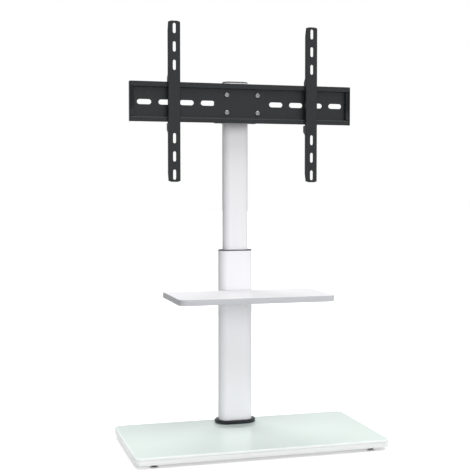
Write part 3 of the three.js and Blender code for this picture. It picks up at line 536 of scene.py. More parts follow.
def float_glass(name, base, roughness):
    """Float glass painted on its back: the paint's colour under a hard, nearly flat mirror surface.
    Rollers leave waves a few hand widths long and microns deep, and dust dulls it a little in places."""
    material, tree, output, place = new_material(name)
    dust = add(tree, "ShaderNodeTexNoise", {"Scale": repeats(DUST), "Detail": 4.0},
               {"Vector": place}).outputs["Fac"]
    dull = add(tree, "ShaderNodeMapRange", {"To Min": roughness * CLEAN, "To Max": roughness * DUSTY},
               {"Value": dust})
    tone = add(tree, "ShaderNodeMix", {
        "data_type": "RGBA", 6: shade(base, 1 - GLASS_DRIFT), 7: shade(base, 1 + GLASS_DRIFT),
    }, {"Factor": dust})
    wave = add(tree, "ShaderNodeTexNoise", {"Scale": repeats(ROLLER), "Detail": 0.0}, {"Vector": place})
    bump = add(tree, "ShaderNodeBump", {"Strength": 0.1, "Distance": 0.3 * MM},
               {"Height": wave.outputs["Fac"]})
    surface = add(tree, "ShaderNodeBsdfPrincipled", {"IOR": 1.52, "Specular IOR Level": 0.5},
                  {"Base Color": tone.outputs[2], "Roughness": dull.outputs["Result"],
                   "Normal": bump.outputs["Normal"]})
    tree.links.new(surface.outputs["BSDF"], output.inputs["Surface"])
    return material


def plated_steel(name, base):
    """Zinc plated steel: a grey metal with the faint cloudy spangle of the bath, a few millimetres wide."""
    material, tree, output, place = new_material(name)
    cloud = add(tree, "ShaderNodeTexNoise", {"Scale": repeats(CLOUD), "Detail": 4.0},
                {"Vector": place}).outputs["Fac"]
    tone = add(tree, "ShaderNodeMix", {"data_type": "RGBA", 6: shade(base, SPANGLE), 7: shade(base, 1)},
               {"Factor": cloud})
    rough = add(tree, "ShaderNodeMapRange", {"To Min": 0.22, "To Max": 0.42}, {"Value": cloud})
    surface = add(tree, "ShaderNodeBsdfPrincipled", {"Metallic": 1.0},
                  {"Base Color": tone.outputs[2], "Roughness": rough.outputs["Result"]})
    tree.links.new(surface.outputs["BSDF"], output.inputs["Surface"])
    return material


# Each finish: the slot it belongs to, its colour, what makes it, and that function's settings
FINISHES = {
    # Float glass painted on its back: nearly a mirror, with the paint's colour under it
    "back_painted_float_glass": ("glass", "glass", float_glass, {"roughness": 0.012}),
    # Its rim, ground flat and then polished: clear, a little hazy. Its near-white colour is partly the clear
    # edge's own and partly painted glow, for the light that the sheet carries out to its edge
    "flat_polished_glass_edge": ("glass", "glass_rim", float_glass, {"roughness": 0.06}),
    # Sprayed lacquer on fibreboard: smooth with a shallow orange peel
    "sprayed_white_lacquer": (
        "white_board", "board", coated, {"roughness": 0.28, "peel": 4, "depth": 0.04}),
    # Powder coat: a soft sheen, with an orange peel about 3 mm wide
    "white_powder_coat": (
        "white_steel", "column", coated, {"roughness": 0.34, "peel": 3, "depth": 0.04, "mottle": 0.01}),
    # Melamine foil pressed on chipboard: satin, nearly even
    "white_melamine_foil": (
        "white_shelf", "shelf", coated, {"roughness": 0.4, "peel": 2, "depth": 0.02, "mottle": 0.008}),
    # Extruded ABS edge band, hot glued and scraped flush: even, half matt
    "grey_abs_edge_band": (
        "white_shelf", "shelf_band", coated,
        {"roughness": 0.42, "peel": 1.5, "depth": 0.02, "mottle": 0.01}),
    # Moulded ABS with a fine spark-eroded grain: near black with a sheen
    "black_moulded_abs": (
        "black_plastic", "collar", coated, {"roughness": 0.12, "peel": 4, "depth": 0.01, "grain": 0.5}),
    # Steel dipped in a black oxide bath and oiled: deep black, matt
    "black_oxide_steel": (
        "black_plastic", "oxide", coated,
        {"roughness": 0.5, "peel": 2, "depth": 0.01, "mottle": 0.1, "specular": 0.2}),
    # Moulded acetal: dark grey, a little waxy
    "grey_moulded_acetal": (
        "grey_plastic", "bushing", coated, {"roughness": 0.42, "peel": 4, "depth": 0.03, "grain": 0.8}),
    # Black powder coat with a fine sand texture: matt, finely rough
    "black_powder_coat": (
        "black_steel", "head", coated,
        {"roughness": 0.46, "peel": 2.2, "depth": 0.06, "mottle": 0.05, "grain": 0.9}),
    # Steel plated in a zinc bath: grey, faintly cloudy
    "zinc_plated_steel": ("zinc_steel", "zinc", plated_steel, {}),
    # Soft plastic moulded in a grained tool: pale, matt
    "pale_moulded_pad": (
        "pale_plastic", "pad", coated, {"roughness": 0.6, "peel": 3, "depth": 0.03, "grain": 0.7}),
    # Nylon moulded without a dye: cream, half matt
    "natural_nylon": ("nylon", "nylon", coated, {"roughness": 0.5, "peel": 3, "depth": 0.03}),
    # Rubber rolled to a sheet between cylinders: dark, dull
    "calendered_rubber": (
        "rubber", "rubber", coated,
        {"roughness": 0.8, "peel": 2, "depth": 0.04, "mottle": 0.06, "grain": 0.6}),
}


def finish(name):
    """A finish by name, made the first time it is asked for."""
    found = bpy.data.materials.get(name)
    if found:
        return found
    tone, maker, settings = FINISHES[name][1:]
    return maker(name, getattr(bpy.context.scene.stand_colours, tone), **settings)


# Pieces

SHARP = math.radians(32)       # edges turned by more than this stay sharp
BEVELLED = math.radians(40)    # edges turned by more than this are softened


def shown(name, data):
    """A new object in the scene."""
    obj = bpy.data.objects.new(name, data)
    bpy.context.scene.collection.objects.link(obj)
    return obj


def piece(name, solids, coat, body, node, bevel=0.0, sharp=SHARP):
    """One object made of closed solids, which rides on a body and stands for a node. coat is a finish."""
    vertices, faces, start = [], [], 0
    for points, sides in solids:
        vertices.append(points)
        faces += [[corner + start for corner in side] for side in sides]
        start += len(points)
    mesh = bpy.data.meshes.new(name)
    mesh.from_pydata(np.concatenate(vertices).tolist(), [], faces)
    mesh.polygons.foreach_set("use_smooth", [True] * len(faces))
    mesh.materials.append(finish(coat))
    mesh.update()
    mesh.validate()
    obj = shown(name, mesh)
    if bevel:
        soften = obj.modifiers.new("Soft edges", "BEVEL")
        soften.width, soften.segments, soften.harden_normals = bevel, 2, True
        soften.limit_method, soften.angle_limit = "ANGLE", BEVELLED
    else:
        mesh.set_sharp_from_angle(angle=sharp)
    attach(obj, body)
    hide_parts(node)
    return obj


def banded(obj, coat, first, last):
    """Gives the faces from first up to last of a piece a finish of their own."""
    mesh = obj.data
    mesh.materials.append(finish(coat))
    indices = np.zeros(len(mesh.polygons), np.int32)
    indices[first:last] = 1
    mesh.polygons.foreach_set("material_index", indices)


class StandOperator:
    """What every operator of this file shares."""
    bl_options = {"REGISTER", "UNDO"}


# Base

GLASS_STEPS = 8             # steps round each polished edge of the glass
PAD_SIDE, PAD_EDGE = 0.35, 1 / 9            # a foot pad's upright side and its rounding, per height
PAD_RIBS, PAD_GROOVE, PAD_BORE = 16, 0.03, 1.03     # ribs round a pad, groove per radius, bore per neck
STEM_RADIUS, STEM_PITCH, STEM_TIP = 4 / 7, 1 / 3.2, 0.8     # per neck, per stem and per stem
HEX_BEVEL, HEX_BEVEL_HEIGHT = 0.9, 0.12     # ends of a neck's hexagon, per radius and per height
THREAD_DEPTH = 0.55         # depth of a thread, per pitch
COLLAR_FOOT, COLLAR_TOP = 0.0006, 0.0004    # radii of the collar's lower and innermost edge
GASKET_EDGE, FOOT_PLATE_EDGE, BACKING_EDGE, BACKING_CORNER = 0.0002, 0.0006, 0.0005, 0.006


class STAND_OT_base(StandOperator, bpy.types.Operator):
    """The glass sheet and the board under it."""
    bl_idname = "stand.base"
    bl_label = "Glass and board"

    def execute(self, context):
        sizes = context.scene.stand_sizes
        box = span("glass_top")
        outline = rounded_rect(*box.size[:2], sizes.base_corner, sizes.corner_steps)
        glass = lying(box, outline, sizes.glass_edge, GLASS_STEPS)
        sheet = piece("glass_sheet", [glass], "back_painted_float_glass", "base", "glass_top")
        banded(sheet, "flat_polished_glass_edge", 0, (2 * GLASS_STEPS + 1) * len(outline))
        board = lying(span("base_board"), outline, sizes.board_edge, sizes.edge_steps)
        piece("base_panel", [board], "sprayed_white_lacquer", "base", "base_board")
        return {"FINISHED"}


class STAND_OT_feet(StandOperator, bpy.types.Operator):
    """The four levelling feet: a ribbed pad and a neck with a hexagon for the spanner."""
    bl_idname = "stand.feet"
    bl_label = "Levelling feet"

    def execute(self, context):
        sizes = context.scene.stand_sizes
        for number in range(1, 5):
            self.foot(f"foot_{number}", f"foot_pad_{number}", f"foot_stem_{number}", sizes)
        return {"FINISHED"}

    def foot(self, body, pad_node, stem_node, sizes):
        """The pad is a turned cone on a short upright side, whose radius is smaller in its grooves. The stem
        is a hexagon below the board and a threaded shank in it."""
        box, stem = span(pad_node), span(stem_node)
        radius, height, neck = box.size[0] / 2, box.size[2], stem.size[0] / 2
        edge, side = height * PAD_EDGE, height * PAD_SIDE
        profile = rounded([
            (0, 0), (radius, 0, edge), (radius, side, edge), (neck * PAD_BORE, sizes.pad_rise),
        ], sizes.edge_steps)[1:]
        points, faces = turned(profile, sizes.turn_steps)
        rib = np.cos(np.arctan2(points[:, 1], points[:, 0]) * PAD_RIBS) > 0
        points[rib & (points[:, 2] > edge / 2) & (points[:, 2] < side - edge / 2), :2] *= 1 - PAD_GROOVE
        piece(f"{body}_pad", [seated((points, faces), box, box.low[2])], "pale_moulded_pad", body, pad_node)

        bottom = stem.low[2] - height + sizes.pad_rise
        board, rise = span("base_board").low[2] - bottom, stem.high[2] - bottom
        shank = neck * STEM_RADIUS
        pitch = shank * STEM_PITCH
        profile = [
            (neck * HEX_BEVEL, 0), (neck, board * HEX_BEVEL_HEIGHT), (neck, board * (1 - HEX_BEVEL_HEIGHT)),
            (neck * HEX_BEVEL, board), (shank, board),
            *thread(shank, pitch, THREAD_DEPTH, board, range(1, int((rise - board) / pitch * 2))),
            (shank * STEM_TIP, rise),
        ]
        solid = turned(profile, sizes.turn_steps, hexes=[1, 2])
        piece(f"{body}_stem", [seated(solid, stem, bottom)], "black_oxide_steel", body, stem_node)


class STAND_OT_column_foot(StandOperator, bpy.types.Operator):
    """The collar, and under it the gasket, the foot plate and the backing plate."""
    bl_idname = "stand.column_foot"
    bl_label = "Column foot"

    def execute(self, context):
        sizes = context.scene.stand_sizes
        box, tube = span("column_collar"), span("lower_tube")
        reach = (box.size[0] - tube.size[0]) / 2
        inner, lip = reach - sizes.collar_skirt, box.size[2] - sizes.collar_lip
        collar = ring(flat_oval(tube.size, sizes.oval_steps), [
            (reach, 0, COLLAR_FOOT), (reach, sizes.collar_wall, sizes.collar_edge),
            (sizes.fit, sizes.collar_rise, COLLAR_TOP), (sizes.fit, lip), (inner, lip), (inner, 0),
        ], steps=10)
        piece("collar", [seated(collar, box, box.low[2])], "black_moulded_abs", "base", "column_collar")
        for name, node, coat, edge in (
            ("gasket", "column_gasket", "calendered_rubber", GASKET_EDGE),
            ("foot_plate", "column_foot_plate", "white_powder_coat", FOOT_PLATE_EDGE),
        ):
            box = span(node)
            sheet = lying(box, flat_oval(box.size, sizes.oval_steps), edge, steps=2)
            piece(name, [sheet], coat, "base", node)
        box = span("backing_plate")
        plate = lying(box, rounded_rect(*box.size[:2], BACKING_CORNER, steps=6), BACKING_EDGE, steps=2)
        piece("base_backing_plate", [plate], "zinc_plated_steel", "base", "backing_plate")
        return {"FINISHED"}


# Column

PORT_MARGIN = (0.001, 0.004)    # between a port and the rim of its block, along s and t
BUSHING_SOFT, CAP_SEAT, GUIDE_BEVEL = 0.0008, 0.0003, 0.0006    # softened edges
GROMMET_EDGE, GROMMET_SEAT = 0.0004, 0.0003                     # radii of a grommet's small edges
GROMMET_OUTER, GROMMET_INNER = 0.8, 0.7                         # roundings of its flange, per thickness
LOCK_CORNER, LOCK_EDGE, LOCK_WELD = 0.004, 0.0012, 0.3          # radii, and the weld's level per its radius


def oval_wall(box):
    """shape(s, t, inward) of an upright flat-oval tube: s runs once round it, anticlockwise, starting at
    the middle of the front, first along the flat, then round the right end by the angle s' / radius, and so
    on."""
    radius = box.size[1] / 2
    flat = box.size[0] / 2 - radius
    around = HALF * radius
    marks = np.cumsum([0, flat, around, 2 * flat, around, flat])

    def shape(s, t, inward):
        right = np.clip((s - marks[1]) / around, 0, 1) * HALF
        left = np.clip((s - marks[3]) / around, 0, 1) * HALF
        turn = right + left - QUARTER
        run = np.minimum(s, marks[1]) - np.clip(s - marks[2], 0, 2 * flat) + np.maximum(s - marks[4], 0)
        x = run + (radius - inward) * np.cos(turn)
        y = (radius - inward) * np.sin(turn)
        return np.stack([x + box.middle[0], y + box.middle[1], t], axis=1)

    return shape, marks


def port(grommet, sizes):
    """Width, height and level of the port that a grommet lines."""
    box = span(grommet)
    return (*(box.size[[0, 2]] - 2 * sizes.grommet_flange), box.middle[2])


def column_tube(node, grommet, sizes):
    """A flat-oval tube with the grommet's port cut through the middle of its back."""
    box = span(node)
    shape, marks = oval_wall(box)
    width, height, level = port(grommet, sizes)
    back, flat = (marks[2] + marks[3]) / 2, (marks[3] - marks[2]) / 2
    half_s, half_t = min(width / 2 + PORT_MARGIN[0], flat), height / 2 + PORT_MARGIN[1]
    right, left = (np.linspace(marks[k], marks[k + 1], sizes.oval_steps + 1) for k in (1, 3))
    block = np.linspace(back - half_s, back + half_s, 2 * BLOCK_STEPS + 1)
    s = np.unique(np.round(np.concatenate([[0], right, block, left]), SNAP))
    t = with_blocks(box.low[2], box.high[2], [(level, half_t)], spacing=0.1)
    hole = (back, level, (width - height) / 2, height / 2, False, half_s, half_t)
    return sheet_metal(s, t, [hole], shape, sizes.tube_wall, wrap=True)


class STAND_OT_column(StandOperator, bpy.types.Operator):
    """The two tubes of the column, the dark bushing between them and the cap on top."""
    bl_idname = "stand.column"
    bl_label = "Column"

    def execute(self, context):
        sizes = context.scene.stand_sizes
        for node, grommet, body in (
            ("lower_tube", "low_cable_grommet", "base"), ("upper_tube", "high_cable_grommet", "mast"),
        ):
            piece(f"column_{node}", [column_tube(node, grommet, sizes)], "white_powder_coat", body, node)
        steps, mast = sizes.oval_steps, span("upper_tube")
        inside = -sizes.tube_wall - sizes.fit

        box, tube = span("top_bushing"), span("lower_tube")
        low, seat, top = box.low[2], tube.high[2], box.high[2]
        soft = BUSHING_SOFT
        outer = rounded([(inside, low), (inside, seat), (0, seat, soft / 3), (0, top, sizes.bushing_edge),
                         (inside, top)], steps=5)
        inner = rounded([(soft, top), (0, top, soft), (0, low, soft), (soft, low)], steps=3)
        flange, bore = flat_oval(tube.size, steps), flat_oval(mast.size + 2 * sizes.fit, steps)
        bushing = stacked([(flange, *point) for point in outer] + [(bore, *point) for point in inner])
        piece("guide_bushing", [seated(bushing, box)], "grey_moulded_acetal", "base", "top_bushing")

        box = span("mast_cap")
        low, seat, top = box.low[2], box.high[2] - sizes.cap_lid, box.high[2]
        profile = rounded([(inside, low), (inside, seat), (0, seat, CAP_SEAT), (0, top, sizes.cap_edge),
                           (inside, top)], steps=6)
        cap = swept(flat_oval(box.size, steps), profile)
        piece("column_cap", [seated(cap, box)], "grey_moulded_acetal", "mast", "mast_cap")

        box = span("mast_slider")
        low, seat, top = box.low[2], box.low[2] + sizes.slider_skirt, box.high[2]
        duct = flat_oval((sizes.slider_duct_width, sizes.slider_duct_depth), steps)
        skirt, core = flat_oval(box.size, steps), flat_oval(mast.size + 2 * inside, steps)
        guide = stacked([(duct, 0, low), (skirt, 0, low), (skirt, 0, seat), (core, 0, seat), (core, 0, top),
                         (duct, 0, top)])
        piece("mast_guide", [seated(guide, box)], "natural_nylon", "mast", "mast_slider", bevel=GUIDE_BEVEL)
        return {"FINISHED"}


class STAND_OT_column_back(StandOperator, bpy.types.Operator):
    """What is on the column's back: two cable grommets and the height lock's block."""
    bl_idname = "stand.column_back"
    bl_label = "Grommets and height lock"

    def execute(self, context):
        sizes = context.scene.stand_sizes
        face, flange = sizes.grommet_face, sizes.grommet_flange
        bore = -sizes.fit - sizes.grommet_wall
        for end, tube, body in (("low", "lower_tube", "base"), ("high", "upper_tube", "mast")):
            node = f"{end}_cable_grommet"
            box, wall = span(node), span(tube).high[1]
            width, height, level = port(node, sizes)
            tail = box.low[1] - wall
            lining = ring(flat_oval((width, height), sizes.oval_steps), [
                (-sizes.fit, tail, GROMMET_EDGE), (-sizes.fit, 0), (flange, 0, GROMMET_SEAT),
                (flange, face, face * GROMMET_OUTER), (bore, face, face * GROMMET_INNER),
                (bore, tail, GROMMET_EDGE),
            ], steps=6)
            piece(f"cable_grommet_{end}", [moved(aimed(lining, "+Y"), (box.middle[0], wall, level))],
                  "black_moulded_abs", body, node)

        box = span("lock_block")
        outline = rounded_rect(box.size[0], box.size[2], LOCK_CORNER, steps=6)
        block = slab(outline, 0, box.size[1], LOCK_EDGE, steps=4)
        line = box.low[1] + sizes.weld * LOCK_WELD
        seams = [bead((x, line, box.low[2] + LOCK_CORNER), (x, line, box.high[2] - LOCK_CORNER), sizes.weld)
                 for x in (box.low[0], box.high[0])]
        block = moved(aimed(block, "+Y"), (box.middle[0], box.low[1], box.middle[2]))
        piece("height_lock_block", [block, *seams], "white_powder_coat", "base", "lock_block")
        return {"FINISHED"}


# Fasteners

# Piece, node, how many, where its head looks, shank radius, head height, body, whether it is a button head
SCREWS = (
    ("base_fixing", "base_bolt", 4, "-Z", 0.003, 0.0036, "base", True),
    ("lock_screw", "height_lock_screw", 2, "+Y", 0.004, 0.0045, "base", True),
    ("shelf_clamp_fixing", "shelf_clamp_screw", 2, "+Y", 0.003, 0.004, "shelf", False),
    ("shelf_fixing", "shelf_screw", 4, "-Z", 0.002, 0.0024, "shelf", True),
    ("mast_clamp_fixing", "mast_clamp_bolt", 4, "+Y", 0.004, 0.006, "mast", False),
    ("carrier_fixing", "carrier_bolt", 4, "-Y", 0.004, 0.0045, "head", True),
)
SCREW_PITCH, SCREW_TIP, TIP_BEVEL = 0.36, 0.75, 0.2     # per shank radius
THREADED = 0.8                  # share of a shank's length that has a thread
BUTTON, CYLINDER, LOWER_RIM = 0.7, 0.15, 0.08       # rounding of a head's rims, per head height
SOCKET, SOCKET_RIM = 0.46, 1.2          # a socket's radius per head radius, and its rim's per socket radius
SOCKET_SIDE = ((1.05, 0.98), (1, 0.9), (1, 0.45))   # inside the rim, per socket radius and per head height


def socket_screw(sizes, shank, length, head, height, button):
    """A screw with its head above z = 0. The socket is a hexagon, and the shank has ridges for its thread."""
    socket, pitch = head * SOCKET, shank * SCREW_PITCH
    ridges = thread(shank, pitch, THREAD_DEPTH, -length + shank * TIP_BEVEL,
                    range(2 * max(2, int(length * THREADED / pitch))))
    upper_rim = height * (BUTTON if button else CYLINDER)
    top = rounded([(shank, 0), (head, 0, height * LOWER_RIM), (head, height, upper_rim),
                   (socket * SOCKET_RIM, height)], steps=5)
    profile = [
        (shank * SCREW_TIP, -length), *[point for point in ridges if point[1] < -pitch / 2],
        (shank, -pitch / 4), *top, *[(socket * wide, height * high) for wide, high in SOCKET_SIDE],
    ]
    last = len(profile)
    return turned(profile, sizes.turn_steps, hexes=range(last - 3, last))


class STAND_OT_fasteners(StandOperator, bpy.types.Operator):
    """All the socket screws, each in the place and length of its node."""
    bl_idname = "stand.fasteners"
    bl_label = "Screws"

    def execute(self, context):
        for name, node, number_of, *settings in SCREWS:
            for number in range(1, number_of + 1):
                self.screw(f"{name}_{number}", f"{node}_{number}", context.scene.stand_sizes, *settings)
        return {"FINISHED"}

    def screw(self, name, node, sizes, direction, shank, height, body, button):
        """A screw in a node's box, its head at the end that direction looks to."""
        box = span(node)
        axis, outward = "XYZ".index(direction[1]), 1 if direction[0] == "+" else -1
        tip, top = (box.low[axis], box.high[axis])[::outward]
        seat = box.middle.copy()
        seat[axis] = top - outward * height
        head = np.delete(box.size, axis).max() / 2
        solid = socket_screw(sizes, shank, abs(seat[axis] - tip), head, height, button)
        piece(name, [moved(aimed(solid, direction), seat)], "zinc_plated_steel", body, node)


# Shelf

SEAM = 0.00012                  # groove between the shelf's face and its band
EAR_INNER, EAR_OUTER = 0.15, 0.3        # radii of a clamp ear's tip, per thickness of the ear
PLATE_CORNER = 0.008            # corner radius of the welded plates
GUSSET_WELD, WELD_MARGIN, EAR_WELD = 0.004, 0.002, 0.001        # how far welds stop short of an end


class STAND_OT_shelf(StandOperator, bpy.types.Operator):
    """The shelf board: white faces, and a grey band glued round its edge."""
    bl_idname = "stand.shelf"
    bl_label = "Shelf"

    def execute(self, context):
        sizes = context.scene.stand_sizes
        box = span("shelf_board")
        outline = rounded_rect(*box.size[:2], sizes.shelf_front, sizes.corner_steps, sizes.shelf_back)
        seam = [(-sizes.band - SEAM, 0), (-sizes.band - SEAM / 2, SEAM), (-sizes.band, 0)]
        lower = np.concatenate([seam, soft_rim(sizes.shelf_edge, sizes.edge_steps)])
        profile = mirrored_profile(lower, box.low[2], box.high[2])
        shelf = piece("shelf_panel", [seated(swept(outline, profile), box)], "white_melamine_foil", "shelf",
                      "shelf_board", sharp=math.radians(50))
        banded(shelf, "grey_abs_edge_band", len(outline), (len(profile) - 2) * len(outline))
        return {"FINISHED"}


def clamp_outline(width, depth, wall, ear_reach, ear, split, steps):
    """Half of a two-part clamp, seen from above, at -y. The inner and outer flat ovals of the ring are cut
    at the split, and ears as thick as given stand out along x from the outer one."""
    flat = (width - depth) / 2
    inner, outer = depth / 2, depth / 2 + wall
    near, far = -split / 2, -split / 2 - ear
    inner_arc, outer_arc = (
        np.stack([flat + radius * np.cos(turn), radius * np.sin(turn)], axis=1)
        for radius, turn in ((radius, np.linspace(math.asin(start / radius), -QUARTER, steps))
                             for radius, start in ((inner, near), (outer, far)))
    )
    tip = flat + outer + ear_reach
    ears = rounded([(flat + inner, near), (tip, near, ear * EAR_INNER), (tip, far, ear * EAR_OUTER),
                    (outer_arc[0, 0], far)], steps=4)
    right = np.concatenate([inner_arc[::-1], ears[1:-1], outer_arc])
    return np.concatenate([right[::-1], right * (-1, 1)])


def clamp(name, rear, tube, coat, body, wall, ear, sizes):
    """Makes the rear half of the clamp round a tube. Returns the front half and its front face's y."""
    box, half = span(tube), span(rear)
    width, depth = box.size[:2] + 2 * sizes.fit
    outline = clamp_outline(width, depth, wall, (half.size[0] - width) / 2 - wall, ear, sizes.clamp_split,
                            sizes.oval_steps // 2)
    front, back = (seated(extruded(line, half.low[2], half.high[2]), box)
                   for line in (outline, outline[::-1] * (1, -1)))
    piece(name, [back], coat, body, rear, bevel=sizes.metal_edge)
    return front, box.low[1] - sizes.fit - wall


class STAND_OT_shelf_clamp(StandOperator, bpy.types.Operator):
    """The two-part clamp on the lower tube, with the plate and gussets that carry the shelf."""
    bl_idname = "stand.shelf_clamp"
    bl_label = "Shelf clamp"

    def execute(self, context):
        sizes = context.scene.stand_sizes
        front, face = clamp("shelf_clamp_rear_half", "shelf_clamp_back", "lower_tube", "white_powder_coat",
                            "shelf", sizes.shelf_clamp_wall, sizes.shelf_clamp_ear, sizes)
        box, plate_back = span("shelf_bracket"), span("shelf_board").high[1]
        depth, under = plate_back - box.low[1], box.high[2] - sizes.shelf_plate
        plate = extruded(rounded_rect(box.size[0], depth, PLATE_CORNER, steps=8), under, box.high[2])
        solids = [front, moved(plate, (box.middle[0], plate_back - depth / 2, 0))]
        nose = face - sizes.gusset_length
        side = [(nose, under - sizes.gusset_nose), (nose, under), (face, under), (face, box.low[2])]
        half, low, welds = sizes.gusset / 2, box.low[2], []
        for x in (-sizes.gusset_spacing / 2, sizes.gusset_spacing / 2):
            solids.append(moved(along_x(extruded(side, -half, half)), (x, 0, 0)))
            for edge in (x - half, x + half):
                welds += [
                    bead((edge, face - GUSSET_WELD, under), (edge, nose + GUSSET_WELD, under), sizes.weld),
                    bead((edge, face, low + WELD_MARGIN), (edge, face, under - WELD_MARGIN), sizes.weld),
                ]
        piece("shelf_carrier", solids + welds, "white_powder_coat", "shelf", "shelf_bracket",
              bevel=sizes.metal_edge)
        return {"FINISHED"}


# Mount head

BARREL_BORE_EDGE, BARREL_EDGE, RIB_EDGE = 0.0006, 0.001, 0.0004     # softened edges of the swivel barrel
RIB_START = 0.75                        # where the rib starts inside the barrel's wall, per radius
PIN_PITCH, PIN_THREAD_DEPTH = 0.00175, 0.5      # the depth is per pitch
PIN_START, PIN_HEAD_EDGE, PIN_HEAD_BEVEL, NUT_BEVEL = 0.001, 0.0006, 0.0012, 0.001      # along the pin
PIN_TIP, PIN_HEAD_UNDER, PIN_HEAD_TOP, NUT_FACE = 0.8, 0.95, 0.88, 0.86     # shares of the radius there


class STAND_OT_mast_clamp(StandOperator, bpy.types.Operator):
    """The clamp on the upper tube and the swivel barrel that is welded to it."""
    bl_idname = "stand.mast_clamp"
    bl_label = "Mast clamp"

    def execute(self, context):
        sizes = context.scene.stand_sizes
        wall = sizes.mast_clamp_wall
        front, face = clamp("mast_clamp_rear_half", "mast_clamp_back", "upper_tube", "black_powder_coat",
                            "mast", wall, sizes.mast_clamp_ear, sizes)
        level, pin = span("mast_clamp_front").middle[2], span("pivot_pin").middle
        half, bore = sizes.barrel_height / 2, sizes.pin_radius + sizes.pin_clearance
        side = sizes.rib_width / 2
        barrel = washer(bore, sizes.barrel_radius, -half, half, BARREL_BORE_EDGE, BARREL_EDGE, steps=4,
                        around=sizes.turn_steps)
        near = pin[1] + sizes.barrel_radius * RIB_START
        depth = face + wall / 2 - near
        rib = extruded(rounded_rect(2 * side, depth, RIB_EDGE, steps=1), level - half, level + half)
        barrel_side = pin[1] + math.sqrt(sizes.barrel_radius ** 2 - side ** 2)
        reach = half - WELD_MARGIN
        welds = [bead((x, y, level - reach), (x, y, level + reach), sizes.weld)
                 for x in (pin[0] - side, pin[0] + side) for y in (face, barrel_side)]
        piece("mast_clamp_front_half",
              [front, moved(rib, (pin[0], near + depth / 2, 0)), moved(barrel, (*pin[:2], level)), *welds],
              "black_powder_coat", "mast", "mast_clamp_front", bevel=sizes.metal_edge)
        return {"FINISHED"}


class STAND_OT_swivel(StandOperator, bpy.types.Operator):
    """The swivel pin with its nut and washers, and the carrier that turns on it."""
    bl_idname = "stand.swivel"
    bl_label = "Swivel"

    def execute(self, context):
        sizes = context.scene.stand_sizes
        steps, shank = sizes.turn_steps, sizes.pin_radius
        box, nut = span("pivot_pin"), span("pivot_nut")
        head, low, top, seat = box.size[0] / 2, box.low[2], box.high[2], box.high[2] - sizes.pin_head
        turns = range(2 * int((nut.high[2] - low) / PIN_PITCH))
        profile = [
            (shank * PIN_TIP, low), *thread(shank, PIN_PITCH, PIN_THREAD_DEPTH, low + PIN_START, turns),
            (shank, nut.high[2]), (shank, seat), (head * PIN_HEAD_UNDER, seat), (head, seat + PIN_HEAD_EDGE),
            (head, top - PIN_HEAD_BEVEL), (head * PIN_HEAD_TOP, top),
        ]
        pin = turned(profile, steps, hexes=[len(profile) - 3, len(profile) - 2])
        piece("swivel_pin", [seated(pin, box)], "zinc_plated_steel", "head", "pivot_pin")

        radius, low, top, bore = nut.size[1] / 2, nut.low[2], nut.high[2], shank + sizes.fit
        profile = [
            (bore, low), (radius * NUT_FACE, low), (radius, low + NUT_BEVEL), (radius, top - NUT_BEVEL),
            (radius * NUT_FACE, top), (bore, top),
        ]
        body = turned(profile, steps, hexes=[2, 3], bore=True)
        piece("swivel_nut", [seated(body, nut)], "zinc_plated_steel", "head", "pivot_nut")

        for end in ("upper", "lower"):
            box, edge = span(f"pivot_washer_{end}"), sizes.metal_edge / 2
            low, top = box.low[2] + sizes.film, box.high[2] - sizes.film
            disc = washer(bore, box.size[0] / 2, low, top, edge, edge, steps=2, around=steps)
            piece(f"swivel_washer_{end}", [seated(disc, box)], "natural_nylon", "head", f"pivot_washer_{end}")
        self.carrier(sizes)
        return {"FINISHED"}

    def carrier(self, sizes):
        """A plate with rounded corners, and two ears welded to it: each is a half disc on the pin's axis
        with straight sides back to the plate."""
        box, pin = span("swivel_carrier"), span("pivot_pin")
        thick, radius = sizes.carrier_plate, sizes.carrier_ear
        outline = rounded_rect(box.size[0], box.size[2], PLATE_CORNER, steps=8)
        plate = aimed(extruded(outline, 0, thick), "+Y")
        solids = [moved(plate, (box.middle[0], box.low[1], box.middle[2]))]
        turn = np.linspace(0, HALF, sizes.turn_steps // 2 + 1)
        back = box.low[1] + thick / 2 - pin.middle[1]
        disc = np.stack([radius * np.cos(turn), radius * np.sin(turn)], axis=1)
        ear = np.concatenate([disc, [(-radius, back), (radius, back)]])
        line, reach, x = box.low[1] + thick, radius - EAR_WELD, pin.middle[0]
        for bottom in (span("pivot_washer_upper").high[2], span("pivot_washer_lower").low[2] - thick):
            solids.append(seated(extruded(ear, bottom, bottom + thick), pin))
            for level in (bottom, bottom + thick):
                solids.append(bead((x - reach, line, level), (x + reach, line, level), sizes.weld))
        piece("head_carrier", solids, "black_powder_coat", "head", "swivel_carrier", bevel=sizes.metal_edge)


LEAST_COSINE = 0.5      # of half the turn at a bend's point, so that its inward normal stays short
HAIR = 1e-6             # play in metres when a place along a sheet is compared


def bent_profile(corners, steps):
    """A bent sheet's outside line and its inward normals. Returns the length s of each point along the line,
    and a function from s and depth to the plane."""
    line = rounded(corners, steps)
    run = np.diff(line, axis=0)
    length = np.concatenate([[0], np.cumsum(np.linalg.norm(run, axis=1))])
    unit = run / np.linalg.norm(run, axis=1)[:, None]
    tangent = np.concatenate([unit[:1], unit[:-1] + unit[1:], unit[-1:]])
    tangent /= np.linalg.norm(tangent, axis=1)[:, None]
    cosine = np.concatenate([[1], np.sum(tangent[1:-1] * unit[1:], axis=1), [1]])
    spread = 1 / np.maximum(cosine, LEAST_COSINE)
    inward = np.stack([-tangent[:, 1], tangent[:, 0]], axis=1) * spread[:, None]

    def at(s, depth):
        """The point at length s; past either end the line runs on straight."""
        place, side = (
            np.stack([np.interp(s, length, row) for row in rows.T], axis=1) for rows in (line, inward)
        )
        past = np.maximum(s - length[-1], 0)[:, None] * unit[-1] + np.minimum(s, 0)[:, None] * unit[0]
        return place + side * depth + past

    return length, at


